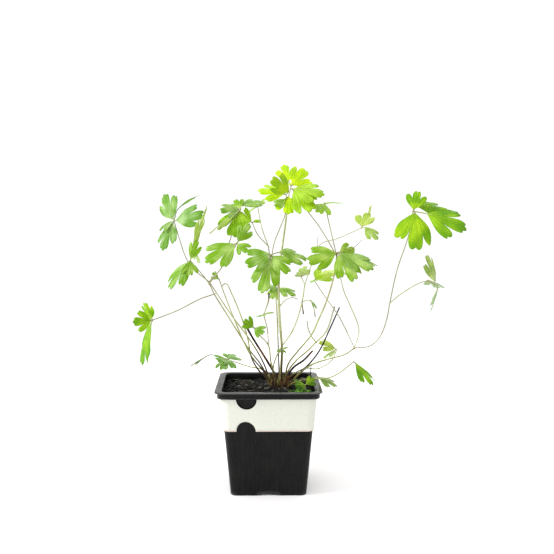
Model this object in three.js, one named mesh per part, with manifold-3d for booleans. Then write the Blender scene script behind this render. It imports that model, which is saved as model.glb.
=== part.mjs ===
// A young columbine (Aquilegia) in a square black nursery pot with a card sleeve.
//
// Millimetres, +Z up. The origin is the centre of the pot's footprint, on the surface it stands on,
// and the front of the pot faces -Y.
//
// The pot, its sleeve, the soil and the crown with its taproot are one solid each. Every leaf is one
// solid too: a long stalk that rises out of its own socket in the crown and forks into sprays of
// lobed leaflets. Bare and dead stalks and a dry grass blade stand among them.

import * as THREE from "three";
import { mergeVertices } from "three/addons/utils/BufferGeometryUtils.js";
import Module from "manifold-3d";

// ---------------------------------------------------------------- driving dimensions

const GAP = 0.3; // clearance between neighbouring solids

const POT = {
  height: 90,
  rim: 90, // across the flange
  base: 64.5, // across the foot
  shoulder: 80.5, // across the wall just under the flange
  wall: 1.2,
  flange: 1.0, // thickness of the flange
  skirt: { drop: 5.5, across: 85.5, thick: 0.9 },
  rimRadius: 8.5, // corner radii
  shoulderRadius: 7,
  baseRadius: 6,
  foot: { lift: 3.2, width: 3, centre: 7 }, // a foot ring and a round foot in the middle lift the floor
  arch: { width: 20, rise: 2.6 }, // drainage arch in the middle of each side of the foot ring
  drain: { radius: 3.5, offset: 19 },
};
const SLEEVE = {
  top: 84,
  bottom: 56.5,
  thick: 0.6,
  notchRadius: 8.5, // half-round finger notches in the front of both edges
  notchX: { top: -18, bottom: -19.5 },
};
const SOIL = { top: 84.5, bump: 1.1, rings: 6 };
const CROWN = {
  x: 10,
  y: 6.5,
  radius: 11,
  top: 87,
  bottom: 79,
  tapTip: 34, // the end of the taproot
  sheath: { height: 5, foot: 0.9, lip: 0.6 }, // how high it stands and how thick it is at both ends
};
const STALK = {
  sides: 5,
  step: 15, // the longest piece between two rings
  sprayStep: 14,
  sprayRadius: 0.6,
  tipRadius: 0.5,
  sink: 1.3, // how far a side stalk starts back inside its parent
  knuckle: 1.1, // the knot where leaflets part
};
const LEAFLET = {
  thick: 0.7,
  small: 15, // leaflets shorter than this get the plain outline
  middle: 0.1, // where the blade's fan point stands along it
  neck: 0.06, // the share of the way from hub to tip that is the leaflet's own stalk
};

// ---------------------------------------------------------------- leaflet outlines

// The edge of a leaflet as [angle, radius] pairs about its base, from one side to the other: the
// angle as a share of the half angle and the radius as a share of the leaflet's length. The lowest
// radii between two teeth are the cuts between lobes.
const OUTLINES = {
  middle: {
    halfAngle: 50,
    edge: [
      [-1, 0.3], [-0.94, 0.54], [-0.82, 0.72], [-0.62, 0.83], [-0.43, 0.78], [-0.33, 0.42],
      [-0.25, 0.86], [-0.13, 0.97], [0, 1], [0.13, 0.97], [0.25, 0.86],
      [0.33, 0.42], [0.43, 0.78], [0.62, 0.83], [0.82, 0.72], [0.94, 0.54], [1, 0.3],
    ],
  },
  side: {
    halfAngle: 54,
    edge: [
      [-1, 0.28], [-0.93, 0.52], [-0.78, 0.73], [-0.54, 0.83], [-0.32, 0.75], [-0.2, 0.38],
      [-0.1, 0.84], [0.04, 0.96], [0.18, 1], [0.32, 0.96], [0.45, 0.76],
      [0.56, 0.92], [0.74, 0.87], [0.91, 0.63], [1, 0.3],
    ],
  },
  plain: {
    halfAngle: 50,
    edge: [
      [-1, 0.36], [-0.86, 0.72], [-0.55, 0.86], [-0.34, 0.64], [-0.18, 0.95],
      [0.18, 1], [0.34, 0.66], [0.55, 0.88], [0.86, 0.74], [1, 0.36],
    ],
  },
};

// ---------------------------------------------------------------- the leaves

// Each leaf has a stalk, [radius at the crown, radius at the fork] and its route, and sprays. A
// spray has its own route from a point on the stalk and leaflets at the route's last point. A
// leaflet is [tip, face, outline, options]: the face is the way its upper side looks; mirror turns
// the outline over, wide is its breadth against that outline, base starts it off the spray's end on a
// short stalk of its own, and sag and fold are how far it droops along its length and to each side, as
// shares of its length.
const M = { mirror: true };
const LEAVES = {
  leaf_far_left: {
    colour: 0x8cc63a,
    radii: [0.75, 0.55],
    stalk: [
      [5.5, 3.5, 80], [0, 2.5, 92], [-7, 0, 106], [-15, -4, 117], [-22, -7, 128], [-33, -12, 147],
      [-46, -16, 169],
    ],
    sprays: [
      {
        route: [[-46, -16, 169], [-58, -18, 165], [-76, -22, 156], [-97, -25, 148]],
        leaflets: [
          [[-104, -33, 163], [-6, -7, 2], "side", { wide: 0.85 }],
          [[-108, -44, 149], [9, -6, 1], "middle", { wide: 0.9 }],
          [[-114, -16, 111], [-9, -3, -1], "side", { mirror: true, wide: 0.7 }],
        ],
      },
      {
        route: [[-46, -16, 169], [-50, -18, 178], [-58, -21, 189], [-65, -26, 198]],
        leaflets: [
          [[-82, -41, 180], [-3, -7, 6], "side", { wide: 0.65, sag: 0.3 }],
          [[-64, -37, 187], [1, -8, 4], "side", { wide: 0.9 }],
          [[-59, -34, 214], [-2, -9, 1], "plain", { wide: 0.6 }],
        ],
      },
      {
        route: [[-65, -26, 198], [-64, -26, 203], [-63, -26, 208]],
        leaflets: [
          [[-49, -34, 242], [9, -5, -1], "middle", { base: [-64, -26, 202], wide: 0.25, sag: 0.05 }],
          [[-57, -18, 196], [8, 5, 3], "side", { wide: 0.8 }],
        ],
      },
      {
        route: [[-50, -18, 178], [-38, -35, 193], [-30, -45, 204], [-25, -50, 213]],
        leaflets: [
          [[-49, -64, 202], [0, -7, 7], "middle", { sag: 0.2 }],
          [[-17, -60, 207], [0, -9, 4], "side", { mirror: true, wide: 0.9 }],
          [[-15, -46, 229], [2, -8, 5], "middle", { wide: 0.8 }],
        ],
      },
    ],
  },
  leaf_upper_left: {
    colour: 0x6fb13c,
    radii: [0.75, 0.55],
    stalk: [
      [5, 7.5, 80], [1, 8.5, 91], [-4, 10, 104], [-10, 13, 115], [-20, 14, 130], [-33, 16, 147],
      [-53, 18, 177],
    ],
    sprays: [
      {
        route: [[-53, 18, 177], [-68, 20, 189], [-74, 20, 199], [-79, 20, 214], [-84, 20, 231]],
        leaflets: [
          [[-95, 4, 209], [-5, -8, 3], "middle", { wide: 0.8, sag: 0.2 }],
          [[-96, 26, 255], [-6, -7, 1], "middle"],
          [[-98, 16, 227], [-2, -4, 9], "plain", { sag: 0.35 }],
          [[-58, 5, 241], [1, -8, 5], "side", { wide: 0.75 }],
          [[-69, 43, 261], [-4, 1, 9], "middle", { base: [-82, 25, 241], sag: 0.25, wide: 0.35 }],
        ],
      },
      {
        route: [[-53, 18, 177], [-42, 23, 190], [-35, 27, 213], [-25, 30, 242]],
        leaflets: [
          [[-31, 38, 252], [-1, -9, 4], "middle"],
          [[-42, 21, 240], [0, -8, 6], "side"],
          [[-54, 16, 222], [-5, -4, 7], "side", { base: [-29, 24, 238], wide: 0.35 }],
          [[-36, 13, 220], [-1, -9, 4], "side", M],
          [[-7, 44, 253], [1, -4, 9], "side", { base: [-25, 33, 245], wide: 0.8 }],
        ],
      },
    ],
  },
  leaf_top: {
    colour: 0xb4dc1e,
    radii: [1.3, 0.75],
    stalk: [
      [10.5, 7, 79], [11, 6.5, 97], [12, 6, 117], [10, 6, 144], [9, 4, 171], [10, 4, 193],
      [12, 6, 207], [16, 8, 237], [17, 8, 250],
    ],
    sprays: [
      {
        route: [[17, 8, 250], [19, 12, 257], [20, 14, 262]],
        leaflets: [
          [[14, 25, 283], [0, -9, 4], "middle", { base: [18, 16, 266] }],
          [[37, 25, 277], [1, -9, 3], "side", M],
          [[24, 36, 268], [1, -1, 9], "middle"],
        ],
      },
      {
        route: [[17, 8, 250], [15, 5, 254]],
        leaflets: [
          [[5, -8, 269], [-1, -8, 5], "side", { mirror: true, base: [18, 2, 256] }],
          [[-8, -2, 259], [-1, -7, 7], "middle"],
        ],
      },
      {
        route: [
          [9, 4, 178], [4, 1, 189], [3, -1, 198], [5, -3, 212], [10, -5, 225], [14.5, -6, 237],
          [15, -7, 250],
        ],
        leaflets: [
          [[17, -17, 238], [0, -7, 7], "middle", { base: [17, -4, 252], wide: 1.2 }],
          [[5, -12, 244], [-2, -8, 5], "side", { wide: 0.8 }],
        ],
      },
      { route: [[9.7, 4.4, 156], [15, 12, 161], [22, 24, 162], [27, 31, 160]], leaflets: [] },
      {
        route: [[9, 4, 170], [8.5, 1, 173]],
        leaflets: [
          [[23, -9, 171], [1, -4, 9], "middle", { sag: 0.3 }],
          [[-3, -6, 175], [-2, -6, 8], "side"],
          [[2, -4, 164], [-1, -8, 5], "side", M],
        ],
      },
      {
        route: [[12, 6, 117], [12, 3.5, 119]],
        leaflets: [
          [[7, 1, 117], [0, -3, 9], "plain"],
          [[17, 1, 121], [0, -3, 9], "plain"],
          [[12, -3, 116], [0, -4, 9], "plain"],
        ],
      },
    ],
  },
  leaf_back_left: {
    colour: 0x74b544,
    radii: [0.7, 0.55],
    stalk: [[9.5, 13.5, 80], [9.5, 17, 96], [9, 24, 114], [7, 36, 159], [2, 44, 193], [0, 46, 208]],
    sprays: [
      {
        route: [[0, 46, 208], [-6, 49, 225], [-10, 51, 245]],
        leaflets: [
          [[-20, 54, 241], [-1, -3, 9], "plain"],
          [[-3, 48, 253], [3, -4, 9], "plain"],
        ],
      },
      {
        route: [[0, 46, 208], [-10, 45, 219], [-15, 44, 230]],
        leaflets: [
          [[-7, 48, 233], [2, -5, 8], "plain", { wide: 0.6 }],
          [[-26, 34, 240], [0, -9, 4], "side", M],
        ],
      },
    ],
  },
  leaf_front: {
    colour: 0x6cb038,
    radii: [0.7, 0.55],
    stalk: [[10.5, 0.5, 80], [11.5, -6, 98], [11, -22, 122], [9, -42, 158], [7, -55, 184], [3, -62, 202]],
    sprays: [
      {
        route: [[3, -62, 202], [2, -64, 204]],
        leaflets: [
          [[-18, -74, 200], [-1, -8, 5], "side", { mirror: true, base: [1, -65, 205] }],
          [[-5, -82, 177], [-1, -9, 3], "middle", { wide: 0.75 }],
          [[17, -76, 193], [1, -9, 4], "side", { wide: 0.75 }],
          [[32, -50, 203], [0, -6, 8], "middle", { base: [8, -61, 206], wide: 0.85 }],
        ],
      },
    ],
  },
  leaf_back: {
    colour: 0x86bf4a,
    radii: [0.7, 0.55],
    stalk: [
      [7.8, 9.9, 80], [4.5, 11, 91], [4.5, 13, 102], [10, 19, 115], [22, 29, 131], [31, 40, 155],
      [34, 46, 172],
    ],
    sprays: [
      {
        route: [[34, 46, 172], [31, 50, 179]],
        leaflets: [
          [[27, 56, 183], [0, -7, 7], "side"],
          [[33, 35, 188], [1, -6, 8], "middle", { wide: 0.8 }],
          [[37, 66, 190], [0, -5, 8], "side", { mirror: true, wide: 0.6 }],
        ],
      },
      {
        route: [[34, 46, 172], [41, 58, 190], [50, 70, 209], [68, 76, 215], [91, 80, 225]],
        leaflets: [
          [[97, 90, 242], [-2, -9, 2], "side"],
          [[105, 96, 247], [7, -4, -5], "plain", { base: [98, 91, 233], wide: 0.7 }],
          [[106, 68, 215], [2, -8, 5], "middle", { base: [94, 78, 226], wide: 0.8 }],
        ],
      },
      {
        route: [[31, 42, 156], [35, 39, 158], [39, 37, 158]],
        leaflets: [[[45, 30, 153], [1, 0, 9], "plain", { sag: 0.25, wide: 0.5 }]],
      },
    ],
  },
  leaf_right: {
    colour: 0x7dbb33,
    radii: [0.8, 0.6],
    stalk: [
      [13, 1.8, 80], [14.5, -1, 92], [17, -3, 106], [25, -7, 118], [37, -14, 134], [42, -18, 146],
      [49, -26, 165], [55, -32, 189], [56, -36, 202],
    ],
    sprays: [
      {
        route: [[56, -36, 202], [43, -26, 225], [30, -17, 243], [20, -12, 258]],
        leaflets: [
          [[47, -20, 255], [1, -7, 7], "middle", { base: [21, -13, 258] }],
          [[40, -26, 243], [1, -8, 5], "side"],
        ],
      },
      {
        route: [[56, -36, 202], [52, -26, 222], [48, -9, 246]],
        leaflets: [
          [[61, 6, 249], [0, 1, 9], "side"],
          [[42, -26, 239], [0, -8, 5], "plain"],
        ],
      },
      {
        route: [[56, -36, 202], [57, -37, 205]],
        leaflets: [
          [[31, -43, 202], [0, -7, 7], "side", M],
          [[72, -32, 208], [1, -9, 3], "middle"],
          [[84, -53, 194], [1, -6, 7], "middle", { wide: 0.8 }],
          [[66, -62, 185], [0, -9, 4], "side", { mirror: true, wide: 0.65 }],
          [[42, -26, 194], [0, -2, 9], "side", { wide: 0.7 }],
          [[90, -38, 196], [0, -1, 9], "plain", { base: [75, -38, 200] }],
        ],
      },
    ],
  },
  leaf_far_right: {
    colour: 0x86c422,
    radii: [0.8, 0.6],
    stalk: [[17, 5.5, 80], [22.5, 4.5, 91], [37, -1, 105], [53, -8, 112], [66, -10, 116], [74, -12, 122]],
    sprays: [
      {
        route: [
          [74, -12, 122], [87, -14, 124], [95, -16, 132], [100, -20, 147], [102, -24, 162],
          [105, -40, 191], [111, -55, 219], [113, -62, 238],
        ],
        leaflets: [
          [[152, -76, 226], [1, -8, 5], "middle", { base: [123, -66, 236], wide: 0.9 }],
          [[148, -44, 241], [-1, -8, 5], "middle", { base: [116, -59, 242], wide: 0.45 }],
          [[118, -56, 255], [-1, -8, 3], "plain", { wide: 0.9 }],
          [[109, -80, 210], [0, -9, 4], "side", { mirror: true, base: [114, -64, 237], wide: 0.9 }],
        ],
      },
      {
        route: [[102, -24, 162], [111, -22, 169], [127, -18, 178], [136, -15, 180.5]],
        leaflets: [
          [[133, -27, 202], [6, -8, -1], "side", { base: [142, -16, 179], wide: 0.45 }],
          [[150, 6, 175], [2, 2, 9], "middle", { wide: 0.8 }],
          [[140, -17, 154], [9, 1, 1], "side", { base: [145, -12, 174], wide: 0.5 }],
        ],
      },
      {
        route: [[74, -12, 122], [78, -10, 137], [70, -10, 159], [65, -11, 170], [61, -10, 186]],
        leaflets: [
          [[44, -4, 187], [0, -4, 9], "side"],
          [[72, 8, 187], [1, -3, 9], "middle"],
        ],
      },
      {
        route: [[74, -12, 122], [63, 12, 146], [52, 34, 162], [43, 49, 176]],
        leaflets: [
          [[58, 60, 186], [0, -7, 7], "side"],
          [[47, 34, 179], [1, -7, 7], "middle"],
        ],
      },
    ],
  },
  leaf_low_right: {
    colour: 0x6fae30,
    radii: [0.7, 0.55],
    stalk: [
      [14.5, -0.5, 80], [18.5, -4, 88], [28, -9.5, 93], [37, -14, 95.5], [52, -22, 98.5],
      [60, -28, 104], [70, -32, 113],
    ],
    sprays: [
      {
        route: [[70, -32, 113], [71, -33, 114]],
        leaflets: [
          [[87, -44, 98], [4, -5, 6], "middle", { wide: 0.6, fold: 0.3 }],
          [[92, -23, 99], [2, -1, 9], "side", { wide: 0.6 }],
        ],
      },
      {
        route: [[37, -14, 95.5], [42, -13, 97.5]],
        leaflets: [
          [[59, -21, 92], [0, -2, 9], "middle", { wide: 0.8 }],
          [[55, -2, 92], [1, 0, 9], "side", { mirror: true, wide: 0.8 }],
        ],
      },
    ],
  },
  leaf_low_back: {
    colour: 0x9ccb5e,
    radii: [0.7, 0.55],
    stalk: [
      [14, 13.5, 80], [18, 17.5, 89], [26, 25, 94], [34, 31, 96], [47, 40, 94], [60, 46, 101],
      [64, 48, 109],
    ],
    sprays: [
      {
        route: [[64, 48, 109], [64, 47, 111]],
        leaflets: [
          [[50, 38, 120], [1, -6, 5], "side", { wide: 0.7, sag: 0.3 }],
          [[52, 62, 101], [-2, 3, 9], "plain", { wide: 0.6 }],
        ],
      },
    ],
  },
  leaf_low_left: {
    colour: 0x74b544,
    radii: [0.75, 0.55],
    stalk: [[6.5, 12.3, 80], [4, 17, 89], [-6, 26, 96], [-17, 34, 97], [-26, 38, 99], [-36, 40, 102]],
    sprays: [
      {
        route: [[-36, 40, 102], [-38, 40, 103]],
        leaflets: [
          [[-31, 56, 106], [0, -6, 8], "side", { mirror: true, wide: 1.2 }],
          [[-39, 22, 98], [0, -7, 7], "side", { wide: 1.1 }],
          [[-48, 28, 107], [-1, -6, 8], "side", { mirror: true, wide: 1.2 }],
          [[-75, 44, 97], [-1, -1, 9], "middle", { base: [-55, 42, 107], wide: 0.4 }],
        ],
      },
    ],
  },
  leaf_small_front: {
    colour: 0x7fb84a,
    radii: [0.75, 0.55],
    stalk: [[7.5, 0.8, 80], [5.5, -6.5, 96], [2, -16, 111], [0, -22, 126], [-7, -26, 135], [-11, -28, 140]],
    sprays: [
      {
        route: [[-11, -28, 140], [-12, -29, 142]],
        leaflets: [
          [[-20, -34, 149], [-2, -9, 3], "plain"],
          [[-4, -37, 139], [1, -9, 3], "middle"],
        ],
      },
      {
        route: [[0, -22, 126], [-1, -26, 141], [-4, -28, 153]],
        leaflets: [
          [[-8, -36, 153], [-2, -1, 9], "plain"],
          [[3, -20, 155], [-1, 1, 9], "plain"],
        ],
      },
    ],
  },
  leaf_soil: {
    colour: 0x8fd018,
    radii: [0.7, 0.55],
    stalk: [[31.5, -18, 78], [31.5, -18, 85], [31.5, -19.5, 91]],
    sprays: [
      {
        route: [[31.5, -19.5, 91], [31.5, -20, 91.8]],
        leaflets: [
          [[23, -26, 92.5], [0, -7, 6], "plain", { wide: 1.4 }],
          [[39.5, -19, 97.5], [0, -7, 6], "plain", { wide: 1.1 }],
        ],
      },
    ],
  },
};

// Stalks that carry no leaf; one forks and one ends in a bud.
const BARE_STALKS = {
  dead_stalk_left: {
    colour: 0x3a2a1c,
    radii: [1.1, 0.9],
    stalk: [
      [8.3, 4.7, 79], [7, 3.8, 93], [1, 0, 105], [-4, -3.5, 114], [-15, -9.5, 133], [-20, -11.5, 143],
    ],
  },
  dead_stalk_right: {
    colour: 0x33251d,
    radii: [0.9, 0.6],
    stalk: [[17, 8.8, 79], [24, 13.5, 91], [38, 21.5, 103], [47, 26, 114], [56, 30, 132], [65, 34, 151]],
  },
  dead_stalk_short: {
    colour: 0x3a2620,
    radii: [1.1, 0.9],
    stalk: [[15.9, 3.6, 79], [16.5, 4.3, 93], [22, 4, 102], [31, 1.5, 109], [38, -1, 117]],
  },
  stalk_hooked_left: {
    colour: 0x93a86a,
    radii: [0.8, 0.5],
    stalk: [
      [3.2, 5.6, 80], [-1, 5.6, 91], [-8, 5.3, 98.5], [-15, 4, 111], [-18, 3, 127], [-23, 2, 145],
      [-32, 0, 168], [-37, 0, 177], [-41, 0, 174],
    ],
  },
  stalk_bud_left: {
    colour: 0x93a86a,
    radii: [0.8, 0.5],
    stalk: [
      [3.9, 9.9, 80], [-1, 13.5, 92], [-17, 24, 111], [-30, 28, 139], [-38, 30, 159],
      [-45, 32, 178],
    ],
    bud: [-50, 28, 185],
  },
  stalk_forked_right: {
    colour: 0x9db06a,
    radii: [0.9, 0.6],
    stalk: [
      [14.5, 10.5, 80], [17, 12, 96], [25, 16, 106], [36, 19, 115], [43, 20, 122], [52, 21.5, 131],
      [60, 23, 154],
    ],
    side: [[43, 20, 122], [39, 21, 127], [36, 22, 134], [35, 22, 141]],
  },
  grass_blade: {
    colour: 0x2b2a24,
    radii: [0.8, 0.35],
    stalk: [[36.3, 8, 78], [37, 8, 90], [38, 8.5, 103]],
  },
};

// ---------------------------------------------------------------- solids

const wasm = await Module();
wasm.setup();

const vec = (point) => new THREE.Vector3(...point);

function meshOf(vertices, triangles) {
  const geometry = new THREE.BufferGeometry();
  geometry.setAttribute("position", new THREE.Float32BufferAttribute(vertices.flat(), 3));
  geometry.setIndex(triangles.flat());
  return geometry;
}

function solid(source) {
  const geometry = source.clone();
  geometry.deleteAttribute("normal");
  geometry.deleteAttribute("uv");
  const merged = mergeVertices(geometry, 1e-4);
  return new wasm.Manifold(
    new wasm.Mesh({
      numProp: 3,
      vertProperties: merged.attributes.position.array,
      triVerts: new Uint32Array(merged.index.array),
    }),
  );
}

function geometryOf(made) {
  const mesh = made.getMesh();
  const geometry = new THREE.BufferGeometry();
  geometry.setAttribute("position", new THREE.BufferAttribute(new Float32Array(mesh.vertProperties), 3));
  geometry.setIndex(new THREE.BufferAttribute(new Uint32Array(mesh.triVerts), 1));
  geometry.computeVertexNormals();
  return geometry;
}

const union = (pieces) => pieces.reduce((whole, piece) => whole.add(piece));

// The one large body, without the scraps that a cut leaves loose.
function largest(made) {
  return made.decompose().reduce((best, body) => (body.volume() > best.volume() ? body : best));
}

// A closed skin over a list of rings with the same number of points each. The first and last rings
// are closed by a fan about their centres, and the skin faces out when the rings run anticlockwise
// seen from above and the list runs down the outside.
function skin(rings) {
  const count = rings[0].length;
  const vertices = rings.flat();
  const triangles = [];
  for (let r = 0; r + 1 < rings.length; r += 1) {
    for (let i = 0; i < count; i += 1) {
      const next = (i + 1) % count;
      const [a, b] = [r * count + i, r * count + next];
      triangles.push([a, a + count, b], [b, a + count, b + count]);
    }
  }
  for (const [ring, flip] of [[0, false], [rings.length - 1, true]]) {
    const centre = vertices.length;
    const sum = rings[ring].reduce((s, p) => [s[0] + p[0], s[1] + p[1], s[2] + p[2]], [0, 0, 0]);
    vertices.push(sum.map((s) => s / count));
    for (let i = 0; i < count; i += 1) {
      const [a, b] = [ring * count + i, ring * count + ((i + 1) % count)];
      triangles.push(flip ? [centre, b, a] : [centre, a, b]);
    }
  }
  return meshOf(vertices, triangles);
}

// A square ring with round corners, `across` wide, at height z.
const CORNER_STEPS = 3;
function squareRing(across, radius, z) {
  const ring = [];
  for (let corner = 0; corner < 4; corner += 1) {
    for (let step = 0; step <= CORNER_STEPS; step += 1) {
      const angle = (corner + step / CORNER_STEPS) * (Math.PI / 2);
      const turn = (corner + 0.5) * (Math.PI / 2);
      const reach = (across / 2 - radius) * Math.SQRT2;
      ring.push([
        Math.cos(turn) * reach + Math.cos(angle) * radius,
        Math.sin(turn) * reach + Math.sin(angle) * radius,
        z,
      ]);
    }
  }
  return ring;
}

const roundRing = (x, y, radius, z, sides, turn = 0) =>
  Array.from({ length: sides }, (_, i) => {
    const angle = turn + (i / sides) * 2 * Math.PI;
    return [x + Math.cos(angle) * radius, y + Math.sin(angle) * radius, z];
  });

// ---------------------------------------------------------------- pot, sleeve and soil

// How wide the pot is at height z, and how round its corners: it widens evenly from foot to shoulder.
function wallAt(z) {
  const share = z / (POT.height - POT.flange);
  return {
    across: POT.base + (POT.shoulder - POT.base) * share,
    radius: POT.baseRadius + (POT.shoulderRadius - POT.baseRadius) * share,
  };
}

function wallRing(z, inset) {
  const { across, radius } = wallAt(z);
  return squareRing(across - 2 * inset, Math.max(radius - inset, 1), z);
}

// An upright cylinder between two heights.
function upright(radius, from, to, sides) {
  const cylinder = new THREE.CylinderGeometry(radius, radius, to - from, sides);
  return cylinder.rotateX(Math.PI / 2).translate(0, 0, (from + to) / 2);
}

function makePot() {
  const { height, rim, rimRadius, flange, skirt, foot, wall, arch, drain } = POT;
  const skirtRing = (inset, z) => squareRing(skirt.across - 2 * inset, rimRadius - 2 - inset, z);
  const floorTop = foot.lift + wall;
  const body = solid(
    skin([
      wallRing(floorTop, wall),
      wallRing(height - flange - 1, wall),
      wallRing(height, wall),
      squareRing(rim, rimRadius, height),
      squareRing(rim, rimRadius, height - flange),
      skirtRing(0, height - flange),
      skirtRing(0, height - skirt.drop),
      skirtRing(skirt.thick, height - skirt.drop),
      skirtRing(skirt.thick, height - flange),
      wallRing(height - flange, 0),
      wallRing(0, 0),
      wallRing(0, foot.width),
      wallRing(foot.lift, foot.width),
    ]),
  );
  const archProfile = new THREE.Shape()
    .moveTo(-arch.width / 2, -1)
    .lineTo(arch.width / 2, -1)
    .lineTo(arch.width / 2, 0)
    .quadraticCurveTo(arch.width / 4, arch.rise, 0, arch.rise)
    .quadraticCurveTo(-arch.width / 4, arch.rise, -arch.width / 2, 0);
  const archCut = () =>
    new THREE.ExtrudeGeometry(archProfile, { depth: rim, bevelEnabled: false, curveSegments: 4 })
      .translate(0, 0, -rim / 2)
      .rotateX(Math.PI / 2);
  const drains = [[-1, -1], [1, -1], [1, 1], [-1, 1]].map(([i, j]) =>
    upright(drain.radius, -1, floorTop + 1, 12).translate(i * drain.offset, j * drain.offset, 0),
  );
  const cuts = [archCut(), archCut().rotateZ(Math.PI / 2), ...drains].map(solid);
  const hollow = cuts.reduce((left, cut) => left.subtract(cut), body);
  return hollow.add(solid(upright(foot.centre, 0, floorTop - wall / 2, 24)));
}

function makeSleeve() {
  const { top, bottom, thick, notchRadius, notchX } = SLEEVE;
  const band = (inset) => [wallRing(top, inset), wallRing(bottom, inset)];
  const [outerTop, outerBottom] = band(-GAP - thick);
  const [innerTop, innerBottom] = band(-GAP);
  const count = outerTop.length;
  const vertices = [outerTop, outerBottom, innerBottom, innerTop].flat();
  const triangles = [];
  for (let layer = 0; layer < 4; layer += 1) {
    for (let i = 0; i < count; i += 1) {
      const next = (i + 1) % count;
      const after = ((layer + 1) % 4) * count;
      const [a, b] = [layer * count + i, layer * count + next];
      triangles.push([a, after + i, b], [b, after + i, after + next]);
    }
  }
  const notch = (x, z) => {
    const depth = POT.rim / 2;
    return solid(new THREE.CylinderGeometry(notchRadius, notchRadius, depth, 24).translate(x, -depth, z));
  };
  return solid(meshOf(vertices, triangles))
    .subtract(notch(notchX.top, top))
    .subtract(notch(notchX.bottom, bottom));
}

// The soil's surface: low mounds, a little higher round the crown.
function soilHeight(x, y) {
  const mounds = Math.sin(x * 0.31 + 1) * Math.cos(y * 0.27 - 0.6) + 0.6 * Math.sin(x * 0.73 + y * 0.58);
  const toCrown = Math.hypot(x - CROWN.x, y - CROWN.y);
  return SOIL.top + SOIL.bump * mounds + 0.8 * Math.exp(-((toCrown / 20) ** 2));
}

function makeSoil(holes) {
  const edge = wallAt(SOIL.top);
  const side = (z) => wallRing(z, POT.wall + GAP);
  const floor = POT.foot.lift + POT.wall + GAP;
  const surface = [];
  for (let ring = 1; ring <= SOIL.rings; ring += 1) {
    const share = ring / SOIL.rings;
    const across = (edge.across - 2 * (POT.wall + GAP)) * share;
    const radius = Math.max((edge.radius - POT.wall) * share, 0.5);
    const height = ([x, y]) => (share === 1 ? SOIL.top - 0.5 : soilHeight(x, y));
    surface.push(squareRing(across, radius, 0).map((point) => [point[0], point[1], height(point)]));
  }
  const block = solid(skin([...surface, side(SOIL.top - 3), side(floor)]));
  return largest(holes.reduce((left, hole) => left.subtract(hole), block));
}

// ---------------------------------------------------------------- crown

// The crown's round body and its taproot, let out by `grow` on every side.
function crownBody(grow) {
  const { x, y, radius, top, bottom, tapTip } = CROWN;
  const profile = [
    [0.35, top + grow],
    [0.75, top - 1 + grow],
    [1, bottom + 4],
    [0.9, bottom],
    [0.45, bottom - 9],
    [0.25, bottom - 22],
    [0.1, tapTip - grow],
  ];
  return solid(skin(profile.map(([share, z]) => roundRing(x, y, radius * share + grow, z, 14))));
}

// A short sheath round the foot of a stalk.
function sheath({ stalk, radii }, grow) {
  const curve = new THREE.CatmullRomCurve3(stalk.map(vec), false, "centripetal");
  const { height, foot, lip } = CROWN.sheath;
  const end = (CROWN.top + height - stalk[0][2]) / curve.getLength();
  const route = [0, end / 2, end].map((share) => curve.getPointAt(share).toArray());
  return solid(tube(route, radii[0] + foot + grow, radii[0] + lip + grow, STALK.sides + 1, 1));
}

// The stalk's own shape, let out by the gap on every side.
function socket({ stalk, radii }) {
  const grow = GAP / Math.cos(Math.PI / STALK.sides);
  const segments = steps(stalk, STALK.step);
  return solid(tube(stalk, radii[0] + grow, radii[1] + grow, STALK.sides, segments, GAP));
}

const crownHole = (stalks) => union([crownBody(GAP), ...stalks.map((stalk) => sheath(stalk, GAP))]);

function makeCrown(stalks) {
  const whole = union([crownBody(0), ...stalks.map((stalk) => sheath(stalk, 0))]);
  return largest(stalks.map(socket).reduce((left, hole) => left.subtract(hole), whole));
}

// ---------------------------------------------------------------- stalks and leaflets

function steps(route, step) {
  const length = new THREE.CatmullRomCurve3(route.map(vec), false, "centripetal").getLength();
  return Math.max(route.length - 1, Math.ceil(length / step));
}

// A round stalk along a smooth curve through the route, tapering from one radius to the other. Its
// near end is drawn back by `sink`.
function tube(route, startRadius, endRadius, sides, segments, sink = 0) {
  const curve = new THREE.CatmullRomCurve3(route.map(vec), false, "centripetal");
  const frames = curve.computeFrenetFrames(segments, false);
  const rings = [];
  for (let s = 0; s <= segments; s += 1) {
    const centre = curve.getPointAt(s / segments);
    if (s === 0) centre.addScaledVector(frames.tangents[0], -sink);
    const radius = startRadius + (endRadius - startRadius) * (s / segments);
    rings.push(
      Array.from({ length: sides }, (_, i) => {
        const angle = (i / sides) * 2 * Math.PI;
        return centre
          .clone()
          .addScaledVector(frames.normals[s], Math.cos(angle) * radius)
          .addScaledVector(frames.binormals[s], -Math.sin(angle) * radius)
          .toArray();
      }),
    );
  }
  return skin(rings);
}

// The directions square to a blade's run: up out of its face, and across it.
function bladeFrame(along, face, mirror) {
  const up = face.clone().addScaledVector(along, -face.dot(along)).normalize();
  return [up, new THREE.Vector3().crossVectors(along, up).multiplyScalar(mirror ? -1 : 1)];
}

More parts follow.
